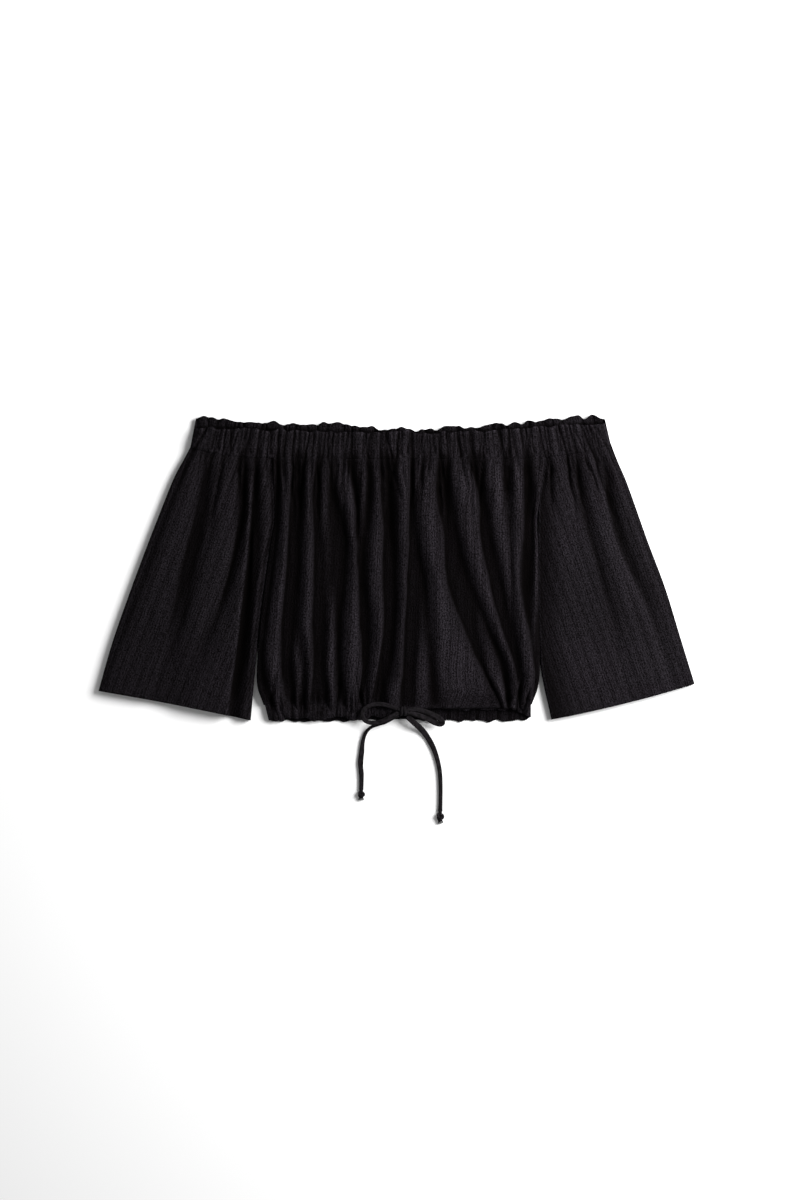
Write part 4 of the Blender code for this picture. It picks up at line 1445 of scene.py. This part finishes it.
@dataclass
class Casing:
    """A band of cloth sewn along an end of the body.

    Its ruffle and its dome give, in millimetres at shares of the way from the seam to the edge, how
    high its gathers stand and how high it lies. The edge strays and the ends tuck in, in metres.
    """

    name: str
    outline: Outline
    start: str
    edge: str
    upper: bool
    cut: tuple[float, float]
    seed: int
    rows: int
    ruffle: tuple[Curve, Curve]
    dome: tuple[Curve, Curve]
    own_creases: Creases
    # How light its painted shade is as a whole; the back casings are painted darker, as they lie low behind
    # the front
    shade_level: float = 0.86
    taper: float = 0.0
    tuck: float = 0.0
    edge_stray: float = 0.0
    gathered_by: str | None = None
    column_mm: float = 1.0
    edge_steps: int = 5

    def sheet(self) -> ClothSheet:
        """Works out the casing.

        Returns:
            Its sheet.
        """
        ends = self.outline.rows[0][0], self.outline.rows[-1][0]
        count = round((ends[1] - ends[0]) / (self.column_mm * MM))
        out = edge_arc(self.edge_steps)[0][None, :]
        flat = np.linspace(ends[0] + EDGE, ends[1] - EDGE, count)[None, :]
        x = np.concatenate([ends[0] + EDGE * out, flat, ends[1] - EDGE * out[:, ::-1]], axis=1)
        span = (1.0, 0.0) if self.outline is NECK else (0.0, 1.0)
        level = np.linspace(*span, self.rows)[:, None]
        x = np.broadcast_to(x, (self.rows, x.shape[1]))
        first, last = self.outline.at(self.start, x), self.outline.at(self.edge, x)
        y = first + (last - first) * level
        full = curve_at(*self.ruffle, level) * MM
        gathered = self.outline.at(self.gathered_by, x) if self.gathered_by else np.ones_like(x)
        creases = self._creases(x, y, first)
        inside = np.minimum(x - ends[0], ends[1] - x)
        window = ease(inside / END_FADE)
        z = (TOP if self.upper else 0.0) + curve_at(*self.dome, level) * MM
        z = z + full * (1 - creases) * window * gathered - 0.6 * MM * (1 - gathered)
        z = z + 0.3 * MM * unevenness(x / 0.004, y / 0.008, self.seed + 8) * window * self.upper
        up = np.sin(np.arccos(np.clip(1 - np.sqrt(np.clip(inside / EDGE, 0, 1)), 0, 1)))
        z = MID + (z - MID) * up
        reach = np.abs(last - first)
        stray = unevenness(x / 0.008, 0 * x, self.seed + 9) + 0.8 * (0.5 - softened(creases, 4, 1))
        stray = self.edge_stray * stray
        loose = ease((level - 0.55) / 0.45)
        y = y + np.sign(last - first) * stray * loose * window * np.minimum(1, reach / 0.01)
        grain = np.stack([x, y], axis=-1)
        x = x * (1 - self.taper * level) + self.tuck * level * ease((-0.095 - x) / 0.05)
        # Painted shade: darker in its creases and hollows, scaled by its shade level
        shade = 1 - creases + 0.5 * (hollow_shade(z, 8, 1.4 * MM) - FLAT_SHADE)
        shade = np.clip(shade, 0, 1) * self.shade_level
        if self.upper:
            # Painted shade where the valleys between the front's folds run into it, and a painted highlight
            # along its free edge
            shade = shade * (1 - self._hollow_by_folds(x, level) * window)
            shade = shade * (1 + 0.45 * ease((level - 0.88) / 0.08))
        elif self.outline is NECK:
            # Painted shadow: next to the front's frill the back one is darkened, as it lies deep in its gap
            bared = ease((y - NECK.at("front_edge", x) - 1.0 * MM) / (4.0 * MM))
            shade = shade * (1 - 0.8 * (1 - bared))
        sheet = ClothSheet(self.name, np.stack([x, y, z], axis=-1), grain, shade)
        return sheet if self.upper else sheet.flipped()

    def _hollow_by_folds(self, x: np.ndarray, level: np.ndarray) -> np.ndarray:
        """How much painted shade darkens the casing where a valley between two folds runs into it.

        Args:
            x: Places across.
            level: Share of the way from the seam to the edge.

        Returns:
            0 for no change, up to 1 for black.
        """
        at_neck = self.outline is NECK
        place = np.full(x.shape, NECK_LINE_Y if at_neck else HEM_FOLDS_Y)
        low = 1 - np.clip(FRONT_FOLDS.heights(x, place) / (3.6 * MM), 0, 1)
        left, right = SIDES.at("left", place), SIDES.at("right", place)
        held = ease((x - left) / END_FADE) * ease((right - x) / END_FADE)
        if at_neck:
            sleeves = np.maximum(LEFT_SLEEVE_FOLDS.heights(x, place), RIGHT_SLEEVE_FOLDS.heights(x, place))
            beside = 1 - np.clip(sleeves / (3.0 * MM), 0, 1)
            low = 0.80 * low * held + 0.50 * beside * (1 - held)
            return low * (1 - ease(level / 0.42))
        return 0.52 * low * held * self.outline.at("gathers", x) * (1 - 0.35 * level)

    def _creases(self, x: np.ndarray, y: np.ndarray, first: np.ndarray) -> np.ndarray:
        """How deep the creases are: the ones that it shares with what it gathers, and its own.

        Args:
            x: Places across.
            y: Places along.
            first: The seam's y at each place.

        Returns:
            0 on smooth cloth, and up to 1 at the bottom of a crease.
        """
        own = self.own_creases.at(x, y - first + self.own_creases.seam)
        if self.upper:
            own = own * ease(np.abs(y - first) / (7.0 * MM))
        if self.outline is HEM:
            return np.maximum(0.7 * own, hem_crease_depth(x, y)) if self.upper else own
        if not self.upper:
            return own
        return np.maximum(0.9 * own, neck_crease_depth(x, y))


NO_LEAN = ((-0.25, 0.25), (0.0, 0.0))
HEM_ENDS = (-0.1440, 0.1470)
FRILL_CREASES = Creases.scattered(NECK_ENDS, 6.6 * MM, 6 * MM, 17 * MM, -1.0, 31, NO_LEAN)
BACK_CREASES = Creases.scattered(NECK_ENDS, 7.0 * MM, 40 * MM, 0.0, -1.0, 37, NO_LEAN)
HEM_RIBS = Creases.scattered(HEM_ENDS, 5.0 * MM, 40 * MM, 0.0, 1.0, 41, NO_LEAN)
HEM_BACK_RIBS = Creases.scattered(HEM_ENDS, 4.6 * MM, 40 * MM, 0.0, 1.0, 43, NO_LEAN)

NECK_FRONT = Casing(
    name="neck_frill_front",
    outline=NECK,
    start="front_seam",
    edge="front_edge",
    upper=True,
    cut=(0.60, 0.034),
    seed=51,
    rows=34,
    ruffle=((0.0, 0.12, 0.35, 0.60, 0.75, 1.0), (2.8, 3.3, 3.6, 3.0, 4.0, 5.0)),
    dome=((0.0, 0.12, 0.35, 0.60, 0.75, 1.0), (0.2, 0.5, 0.8, 0.5, 0.7, 0.2)),
    own_creases=FRILL_CREASES,
    taper=FRILL_TAPER,
    edge_stray=2.6 * MM,
)
NECK_BACK = Casing(
    name="neck_frill_back",
    outline=NECK,
    start="back_seam",
    edge="back_edge",
    upper=False,
    cut=(0.60, 0.034),
    seed=61,
    rows=26,
    ruffle=((0.0, 0.4, 0.62, 0.8, 1.0), (0.3, 0.3, 0.8, 3.2, 5.2)),
    dome=((0.0, 0.5, 0.75, 1.0), (0.0, 0.0, 0.3, 1.4)),
    own_creases=BACK_CREASES,
    shade_level=0.7,
    taper=FRILL_TAPER,
    edge_stray=3.0 * MM,
)
HEM_FRONT = Casing(
    name="hem_casing_cloth_front",
    outline=HEM,
    start="front_top",
    edge="front_edge",
    upper=True,
    cut=(0.36, 0.018),
    seed=71,
    rows=22,
    ruffle=((0.0, 0.3, 0.7, 1.0), (2.2, 2.6, 2.6, 2.0)),
    dome=((0.0, 0.2, 0.5, 0.85, 1.0), (-3.0, -2.2, -1.6, -2.4, -4.6)),
    own_creases=HEM_RIBS,
    shade_level=1.0,
    tuck=4.5 * MM,
    edge_stray=3.0 * MM,
    gathered_by="gathers",
)
HEM_BACK = Casing(
    name="hem_casing_cloth_back",
    outline=HEM,
    start="back_top",
    edge="back_edge",
    upper=False,
    cut=(0.36, 0.0185),
    seed=87,
    rows=14,
    ruffle=((0.0, 0.5, 1.0), (0.9, 0.9, 1.2)),
    dome=((0.0, 1.0), (0.0, 0.0)),
    own_creases=HEM_BACK_RIBS,
    shade_level=0.46,
    tuck=4.5 * MM,
    edge_stray=2.2 * MM,
)


def route(points: tuple[Point, ...], step: float) -> np.ndarray:
    """Points about a step apart on the smooth curve through a strand's own points.

    Args:
        points: The strand's points.
        step: The distance between two points of the route.

    Returns:
        The route, one row a point.
    """
    given = np.array(points)
    lengths = np.concatenate([[0.0], np.cumsum(np.linalg.norm(np.diff(given, axis=0), axis=1))])
    count = max(2, round(lengths[-1] / step))
    places = np.linspace(0.0, lengths[-1], count + 1)
    return np.stack([curve_at(tuple(lengths), tuple(given[:, k]), places) for k in range(3)], axis=1)


@dataclass
class TubeMesh:
    """Rings of points along routes, joined into one mesh with the material's coordinates."""

    vertices: list = field(default_factory=list)
    faces: list = field(default_factory=list)
    grain: list = field(default_factory=list)

    def add(
        self,
        path: np.ndarray,
        radius: np.ndarray | float,
        sides: int,
        high: np.ndarray | None = None,
        closed: bool = False,
        groove: float = 0.0,
    ) -> None:
        """Adds a tube along a path, with rounded ends unless it closes on itself.

        Args:
            path: The centres of its rings.
            radius: Half its width, the same all along or one for each ring.
            sides: Points on a ring.
            high: Half its height, if that is not half its width.
            closed: Whether the last ring joins the first.
            groove: How deep a flat tube's middle sinks, as a share of its height.
        """
        path = np.asarray(path, float)
        count = len(path)
        radius = np.broadcast_to(np.asarray(radius, float), (count,))
        high = np.broadcast_to(np.asarray(radius if high is None else high, float), (count,))
        if closed:
            tangent = np.roll(path, -1, axis=0) - np.roll(path, 1, axis=0)
        else:
            tangent = np.gradient(path, axis=0)
        tangent = tangent / np.linalg.norm(tangent, axis=1, keepdims=True)
        side = np.cross(tangent, (0.0, 0.0, 1.0))
        weak = np.linalg.norm(side, axis=1) < 0.15
        side[weak] = np.cross(tangent[weak], (0.3, 1.0, 0.0))
        side = side / np.linalg.norm(side, axis=1, keepdims=True)
        above = np.cross(side, tangent)
        start = len(self.vertices)
        along = np.concatenate([[0.0], np.cumsum(np.linalg.norm(np.diff(path, axis=0), axis=1))])
        angle = 2 * np.pi * (np.arange(sides) / sides)
        sunk = 1 - groove * np.exp(-((np.cos(angle) / 0.35) ** 2))
        for k in range(count):
            u, v = radius[k] * np.cos(angle), high[k] * np.sin(angle) * sunk
            ring = path[k] + u[:, None] * side[k] + v[:, None] * above[k]
            self.vertices.extend(ring.tolist())
        rings = count if closed else count - 1
        for k in range(rings):
            a, b = start + k * sides, start + ((k + 1) % count) * sides
            for j in range(sides):
                j2 = (j + 1) % sides
                self.faces.append((a + j, a + j2, b + j2, b + j))
                u0, u1 = j / sides, (j + 1) / sides
                v0, v1 = along[k], along[k] + (along[k + 1] - along[k] if k + 1 < count else 0.001)
                self.grain.append(((u0, v0), (u1, v0), (u1, v1), (u0, v1)))
        if closed:
            return
        for k, outward in ((0, -1), (count - 1, 1)):
            tip = path[k] + outward * tangent[k] * radius[k] * 0.45
            self._cap(tip, start + k * sides, sides, along[k], outward > 0)

    def _cap(self, tip: np.ndarray, first: int, sides: int, along: float, ahead: bool) -> None:
        """Closes one end of a tube.

        Args:
            tip: The cap's middle.
            first: The end ring's first point.
            sides: Points on the ring.
            along: The ring's distance along the tube.
            ahead: Whether it is the tube's last end.
        """
        middle = len(self.vertices)
        self.vertices.append(tip.tolist())
        for j in range(sides):
            a, b = first + j, first + (j + 1) % sides
            self.faces.append((a, b, middle) if ahead else (b, a, middle))
            self.grain.append(tuple(((j + step) / sides, along) for step in (0, 1, 0.5)))

    def make(self, name: str, material: bpy.types.Material) -> bpy.types.Object:
        """Makes the object of all the tubes added so far.

        Args:
            name: Its name.
            material: Its finish.

        Returns:
            The object.
        """
        mesh = bpy.data.meshes.new(name)
        mesh.from_pydata(self.vertices, [], self.faces)
        layer = mesh.uv_layers.new(name="grain")
        corners = [corner for face in self.grain for corner in face]
        layer.data.foreach_set("uv", np.array(corners, np.float32).reshape(-1))
        mesh.shade_smooth()
        mesh.materials.append(material)
        return new_object(name, mesh)


@dataclass
class Drawstring:
    """The tie that runs through the hem casing: its bow, its two tails and their knots."""

    diameter: float = 0.0044
    step_mm: float = 1.1
    knot_centre: Point = (0.0077, -0.1562, 0.0147)
    left_loop: tuple[Point, ...] = (
        (0.0012, -0.1540, 0.0150),
        (-0.0070, -0.1508, 0.0142),
        (-0.0170, -0.1486, 0.0137),
        (-0.0268, -0.1492, 0.0136),
        (-0.0346, -0.1532, 0.0136),
        (-0.0378, -0.1597, 0.0136),
        (-0.0350, -0.1660, 0.0138),
        (-0.0278, -0.1690, 0.0144),
        (-0.0180, -0.1676, 0.0156),
        (-0.0075, -0.1630, 0.0169),
        (0.0012, -0.1584, 0.0168),
    )
    right_loop: tuple[Point, ...] = (
        (0.0142, -0.1543, 0.0150),
        (0.0215, -0.1543, 0.0138),
        (0.0315, -0.1566, 0.0128),
        (0.0410, -0.1606, 0.0122),
        (0.0482, -0.1650, 0.0116),
        (0.0508, -0.1688, 0.0108),
        (0.0482, -0.1706, 0.0100),
        (0.0420, -0.1688, 0.0100),
        (0.0330, -0.1642, 0.0108),
        (0.0240, -0.1606, 0.0124),
        (0.0142, -0.1580, 0.0140),
    )
    left_tail: tuple[Point, ...] = (
        (0.0012, -0.1604, 0.0126),
        (-0.0062, -0.1648, 0.0126),
        (-0.0140, -0.1688, 0.0116),
        (-0.0212, -0.1712, 0.0092),
        (-0.0280, -0.1742, 0.0050),
        (-0.0334, -0.1796, 0.0023),
        (-0.0368, -0.1888, 0.0023),
        (-0.0384, -0.2020, 0.0023),
        (-0.0396, -0.2140, 0.0023),
        (-0.0386, -0.2280, 0.0023),
        (-0.0388, -0.2432, 0.0023),
    )
    right_tail: tuple[Point, ...] = (
        (0.0120, -0.1622, 0.0120),
        (0.0160, -0.1660, 0.0111),
        (0.0214, -0.1708, 0.0093),
        (0.0272, -0.1764, 0.0048),
        (0.0338, -0.1848, 0.0023),
        (0.0405, -0.1968, 0.0023),
        (0.0450, -0.2098, 0.0023),
        (0.0478, -0.2240, 0.0023),
        (0.0486, -0.2390, 0.0023),
        (0.0486, -0.2540, 0.0023),
        (0.0482, -0.2668, 0.0023),
    )
    left_end: Point = (0.0084, 0.0104, 0.0062)
    right_end: Point = (0.0090, 0.0122, 0.0062)

    def build(self, finishes: Finishes) -> None:
        """Args:
            finishes: The shared materials.
        """
        knot = self._bow_knot(finishes.tie)
        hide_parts("bow_knot")
        self._strand("bow_loop_left", self.left_loop, (4.6, 4.8, 5.0, 4.4, 4.8), "object", [], finishes.tie)
        self._strand("bow_loop_right", self.right_loop, (4.6, 5.4, 6.0, 5.8, 4.8), "object", [], finishes.tie)
        for side, points, size, widths in (
            ("left", self.left_tail, self.left_end, (4.6, 4.4, 3.6, 4.6, 6.0, 5.4, 4.6)),
            ("right", self.right_tail, self.right_end, (6.2, 6.4, 6.0, 5.2, 4.8, 4.4, 5.0)),
        ):
            end = self._end_knot(side, points[-1], size, finishes.tie)
            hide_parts("tie_end_" + side)
            self._strand("tie_" + side, points, widths, "knot", [end], finishes.tie)

    def _strand(
        self,
        node: str,
        points: tuple[Point, ...],
        widths: Curve,
        far_end: str,
        with_pieces: list,
        material: bpy.types.Material,
    ) -> None:
        """Args:
            node: The solid that it replaces.
            points: Its route's own points.
            widths: Its width along it in millimetres, as it turns over, at even steps.
            far_end: What its far end is; not used.
            with_pieces: The pieces on it; not used.
            material: Its finish.
        """
        path = route(points, self.step_mm * MM)
        along = np.arange(len(path)) * self.step_mm * MM
        seed = len(node) + (7 if node.endswith("left") else 0)
        share = along / along[-1]
        half = curve_at(tuple(np.linspace(0, 1, len(widths))), widths, share) * MM / 2
        half = half * (1 + 0.05 * unevenness(along / 0.006, 0 * along, 90 + seed))
        high = np.clip(3.6 * MM**2 / half, 1.1 * MM, 2.0 * MM)
        tube = TubeMesh()
        tube.add(path, half, sides=20, high=high, groove=0.34)
        obj = tube.make(node + "_strand", material)
        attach(obj, "root")
        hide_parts(node)

    def _bow_knot(self, material: bpy.types.Material) -> bpy.types.Object:
        """Makes the bow's knot: two wraps drawn tight round the crossing strands.

        Args:
            material: Its finish.

        Returns:
            The knot.
        """
        centre = np.array(self.knot_centre)
        tube = TubeMesh()
        turn = np.linspace(0, 2 * np.pi, 36, endpoint=False)
        for shift, lean, ry, rz in ((-0.0019, 0.16, 0.0034, 0.0024), (0.0016, -0.10, 0.0036, 0.0025)):
            across = centre[0] + shift + lean * ry * np.cos(turn)
            ring = [across, centre[1] + ry * np.cos(turn), centre[2] + rz * np.sin(turn)]
            tube.add(np.stack(ring, axis=1), 0.0018, sides=12, closed=True)
        for points in (
            ((-6.2, 2.0, 0.4), (-2.0, 0.4, 1.0), (2.2, -0.2, 0.9), (6.2, 2.2, 0.4)),
            ((-6.0, -2.2, 0.2), (-1.8, -1.2, -0.6), (2.4, -1.0, -0.6), (6.0, -2.6, -0.4)),
        ):
            strand = route(tuple(tuple(np.array(point) * MM) for point in points), 0.9 * MM) + centre
            tube.add(strand, 0.0019, sides=12)
        obj = tube.make("bow_knot_wraps", material)
        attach(obj, "root")
        return obj

    def _end_knot(
        self, side: str, last: Point, size: Point, material: bpy.types.Material
    ) -> bpy.types.Object:
        """Makes a tail's overhand knot with the short frayed end that sticks out of it.

        Args:
            side: left or right.
            last: The tail's last point.
            size: The knot's outer size.
            material: Its finish.

        Returns:
            The knot.
        """
        thick = 0.0016
        turn = np.linspace(0, 2 * np.pi, 60, endpoint=False)
        wide, long, high = (s / 2 - thick for s in size)
        centre = np.array((last[0], last[1] - size[1] / 2 + 0.0002, size[2] / 2 + 0.0001))
        ring = (2 + np.cos(3 * turn)) / 3
        across, down = wide * ring * np.cos(2 * turn), 0.82 * long * ring * np.sin(2 * turn)
        knot = centre + np.stack([across, down, high * np.sin(3 * turn)], axis=1)
        tube = TubeMesh()
        tube.add(knot, thick, sides=10, closed=True)
        tube.add(route(((last[0], last[1] + 0.001, last[2]), tuple(centre)), 0.7 * MM), 0.0020, sides=10)
        for k in range(5):
            lean = (k - 2) * 0.22 + (0.15 if side == "right" else -0.1)
            base = centre + np.array((0.0006 * (k - 2), -0.5 * size[1] * 0.55, -0.0008))
            drop = -0.42 * size[1] * math.cos(lean) * 0.9
            tip = base + np.array((0.0030 * math.sin(lean), drop, -0.0004 * (k % 2)))
            middle = (base + tip) / 2 + np.array((0.0002 * (k - 2), 0.0, 0.0003))
            tube.add(route((tuple(base), tuple(middle), tuple(tip)), 0.5 * MM), 0.5 * MM, sides=6)
        obj = tube.make("tie_end_knot_" + side, material)
        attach(obj, "root")
        return obj


@dataclass
class StitchRows:
    """Rows of machine stitches that sink a little into the cloth, made by one node tree."""

    stitch_mm: float = 2.6
    pitch_mm: float = 3.6
    thread_mm: float = 0.34

    def build(self, name: str, rows: list[np.ndarray], material: bpy.types.Material) -> bpy.types.Object:
        """Makes the stitches along rows of points.

        Args:
            name: The piece's name.
            rows: Each row's points, on the cloth.
            material: The thread.

        Returns:
            One plain mesh of all the stitches.
        """
        vertices = np.concatenate(rows)
        edges, start = [], 0
        for row in rows:
            edges.extend((start + k, start + k + 1) for k in range(len(row) - 1))
            start += len(row)
        path = bpy.data.meshes.new(name + "_path")
        path.from_pydata(vertices.tolist(), edges, [])
        holder = new_object(name + "_path", path)
        modifier = holder.modifiers.new("stitches", "NODES")
        modifier.node_group = self._tree(material)
        sizes = {"Pitch": self.pitch_mm * MM, "Stitch": self.stitch_mm * MM, "Thread": self.thread_mm * MM}
        for item in modifier.node_group.interface.items_tree:
            if item.item_type == "SOCKET" and item.name in sizes:
                modifier[item.identifier] = sizes[item.name]
        graph = bpy.context.evaluated_depsgraph_get()
        mesh = bpy.data.meshes.new_from_object(holder.evaluated_get(graph), depsgraph=graph)
        mesh.name = name
        bpy.data.objects.remove(holder)
        obj = new_object(name, mesh)
        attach(obj, "root")
        return obj

    def _tree(self, material: bpy.types.Material) -> bpy.types.NodeTree:
        """Builds the tree: a path is cut into even steps, and a stitch laid along each.

        Args:
            material: The thread.

        Returns:
            The node tree.
        """
        tree = bpy.data.node_groups.new("machine_stitches", "GeometryNodeTree")
        tree.interface.new_socket("Geometry", in_out="INPUT", socket_type="NodeSocketGeometry")
        for name in ("Pitch", "Stitch", "Thread"):
            tree.interface.new_socket(name, in_out="INPUT", socket_type="NodeSocketFloat")
        tree.interface.new_socket("Geometry", in_out="OUTPUT", socket_type="NodeSocketGeometry")
        given = add_node(tree, "NodeGroupInput").outputs
        curve = add_node(tree, "GeometryNodeMeshToCurve", inputs={"Mesh": given["Geometry"]})
        points = add_node(
            tree,
            "GeometryNodeCurveToPoints",
            {"mode": "LENGTH"},
            {"Curve": curve.outputs["Curve"], "Length": given["Pitch"]},
        )
        radius = multiplied(tree, given["Thread"], 0.5)
        sizes = {"Vertices": 6, "Side Segments": 1, "Fill Segments": 1, "Radius": radius}
        sizes["Depth"] = given["Stitch"]
        stitch = add_node(tree, "GeometryNodeMeshCylinder", {"fill_type": "TRIANGLE_FAN"}, sizes)
        places = {"Points": points.outputs["Points"], "Rotation": points.outputs["Rotation"]}
        laid = add_node(
            tree, "GeometryNodeInstanceOnPoints", inputs={**places, "Instance": stitch.outputs["Mesh"]}
        )
        real = add_node(tree, "GeometryNodeRealizeInstances", inputs={"Geometry": laid.outputs["Instances"]})
        finish = {"Geometry": real.outputs["Geometry"], "Material": material}
        dressed = add_node(tree, "GeometryNodeSetMaterial", inputs=finish)
        add_node(tree, "NodeGroupOutput", inputs={"Geometry": dressed.outputs["Geometry"]})
        return tree


# The left sleeve's lower shade level is painted shade, as it lies further from the light than the right one
LEFT_SLEEVE = Sleeve(
    name="sleeve_cloth_left",
    lines=LEFT_SLEEVE_LINES,
    folds=LEFT_SLEEVE_FOLDS,
    guides=("roll", "middle", "outer"),
    armpit_share=0.24,
    bow=-0.0012,
    cut=(0.37, 0.29),
    pleat=5.0 * MM,
    seed=100,
    valley=0.22,
    shade_level=0.64,
)
RIGHT_SLEEVE = Sleeve(
    name="sleeve_cloth_right",
    lines=RIGHT_SLEEVE_LINES,
    folds=RIGHT_SLEEVE_FOLDS,
    guides=("inner", "middle", "outer"),
    armpit_share=0.16,
    bow=0.0024,
    cut=(0.36, 0.29),
    pleat=0.0,
    seed=200,
    valley=0.34,
    shade_level=0.88,
    corner=0.85,
)


@dataclass
class Garment:
    """All the sewn cloth, each piece on the solid that it stands for.

    A sleeve's flat cut is a flared shape that fills this share of its width by its length. Stitch
    rows are given as a casing and a share of the way down its sheet.
    """

    panels: BodyPanels = field(default_factory=BodyPanels)
    flare_share: float = 0.80
    sleeves: tuple[tuple[Sleeve, str], ...] = ((LEFT_SLEEVE, "sleeve_left"), (RIGHT_SLEEVE, "sleeve_right"))
    casings: tuple[tuple[Casing, str], ...] = (
        (NECK_FRONT, "neck_casing_front"),
        (NECK_BACK, "neck_casing_back"),
        (HEM_FRONT, "hem_casing_front"),
        (HEM_BACK, "hem_casing_back"),
    )
    stitched: tuple[tuple[str, float], ...] = (
        ("neck_casing_front", 0.42),
        ("neck_casing_front", 0.97),
        ("hem_casing_front", 0.08),
    )

    def build(self, finishes: Finishes) -> None:
        """Makes every piece of cloth, then its stitches.

        Args:
            finishes: The shared materials.
        """
        front, back = self.panels.front(), self.panels.back()
        self._declare(back, "back_panel", finishes)
        self._declare(front, "front_panel", finishes)
        for sleeve, node in self.sleeves:
            self._declare(sleeve.sheet(), node, finishes)
        sheets = {}
        for casing, node in self.casings:
            sheets[node] = casing.sheet()
            self._declare(sheets[node], node, finishes)
        rows = [self._row(sheets[node], share) for node, share in self.stitched]
        StitchRows().build("seam_stitches", rows, finishes.thread)
        log.info("stitches made")

    def _row(self, sheet: ClothSheet, share: float) -> np.ndarray:
        """A line across a sheet at a share of its rows, sunk so that half the thread shows."""
        row = sheet.points[round(share * (len(sheet.points) - 1)), 6:-6]
        return row - np.array((0.0, 0.0, 0.04 * MM))

    def _declare(
        self,
        sheet: ClothSheet,
        node: str,
        finishes: Finishes,
    ) -> None:
        """Makes one sheet, puts it on its body and hides the solid that it replaces.

        Args:
            sheet: The worked-out sheet.
            node: The solid that it replaces.
            finishes: The shared materials.
        """
        obj = sheet.make(finishes.crepe)
        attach(obj, "root")
        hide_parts(node)
        log.info("%s: %d points", sheet.name, sheet.points.shape[0] * sheet.points.shape[1])


@dataclass
class Studio:
    """The pale surface, the soft light from the right, and the camera straight above."""

    lens_mm: float = 110.0
    sensor_mm: float = 36.0
    key_power: float = 76.0
    key_place: Point = (1.27, 0.47, 1.12)
    key_size: float = 1.25
    fill: float = 0.31
    floor_reach: float = 6.0
    floor_gap: float = 0.0004

    def camera(self) -> None:
        """Sets the camera so that the image's scale and frame are the photograph's."""
        centre_x = (PHOTO_SIZE[0] / 2 - PHOTO_ORIGIN_PIXEL[0]) * PHOTO_MM_PER_PIXEL * MM
        centre_y = (PHOTO_ORIGIN_PIXEL[1] - PHOTO_SIZE[1] / 2) * PHOTO_MM_PER_PIXEL * MM
        height = PHOTO_SIZE[1] * PHOTO_MM_PER_PIXEL * MM
        data = bpy.data.cameras.new("camera")
        data.sensor_fit = "VERTICAL"
        data.sensor_height = self.sensor_mm
        data.lens = self.lens_mm
        data.clip_end = 50.0
        camera = new_object("camera", data)
        camera.location = (centre_x, centre_y, height * self.lens_mm / self.sensor_mm + TOP)
        bpy.context.scene.camera = camera

    def light(self) -> None:
        """Sets the floor, the key light, the even fill and the film's plain response."""
        scene = bpy.context.scene
        mesh = bpy.data.meshes.new("floor")
        far = self.floor_reach
        mesh.from_pydata([(-far, -far, 0), (far, -far, 0), (far, far, 0), (-far, far, 0)], [], [(0, 1, 2, 3)])
        material = new_material("white_paper_sweep", 0.9, 0.1)
        shader = material.node_tree.nodes["Principled BSDF"]
        shader.inputs["Base Color"].default_value = linear("#f4f4f4")
        mesh.materials.append(material)
        floor = new_object("floor", mesh)
        floor.location.z = -self.floor_gap
        lamp = bpy.data.lights.new("key", "AREA")
        lamp.shape = "DISK"
        lamp.size = self.key_size
        lamp.energy = self.key_power
        key = new_object("key", lamp)
        key.location = self.key_place
        key.rotation_euler = Vector(self.key_place).to_track_quat("Z", "Y").to_euler()
        world = bpy.data.worlds.new("room")
        scene.world = world
        world.use_nodes = True
        world.node_tree.nodes["Background"].inputs["Color"].default_value = (1.0, 1.0, 1.0, 1.0)
        world.node_tree.nodes["Background"].inputs["Strength"].default_value = self.fill
        scene.view_settings.view_transform = "Standard"


def main() -> None:
    """Builds the studio, the drawstring and the garment, in that order."""
    logging.basicConfig(level=logging.INFO, format="%(name)s: %(message)s")
    studio = Studio()
    studio.camera()
    finishes = Finishes(CrinkleCrepe().build(), TieCloth().build(), SewingThread().build())
    Drawstring().build(finishes)
    log.info("drawstring made")
    Garment().build(finishes)
    studio.light()


if __name__ == "__main__":
    main()
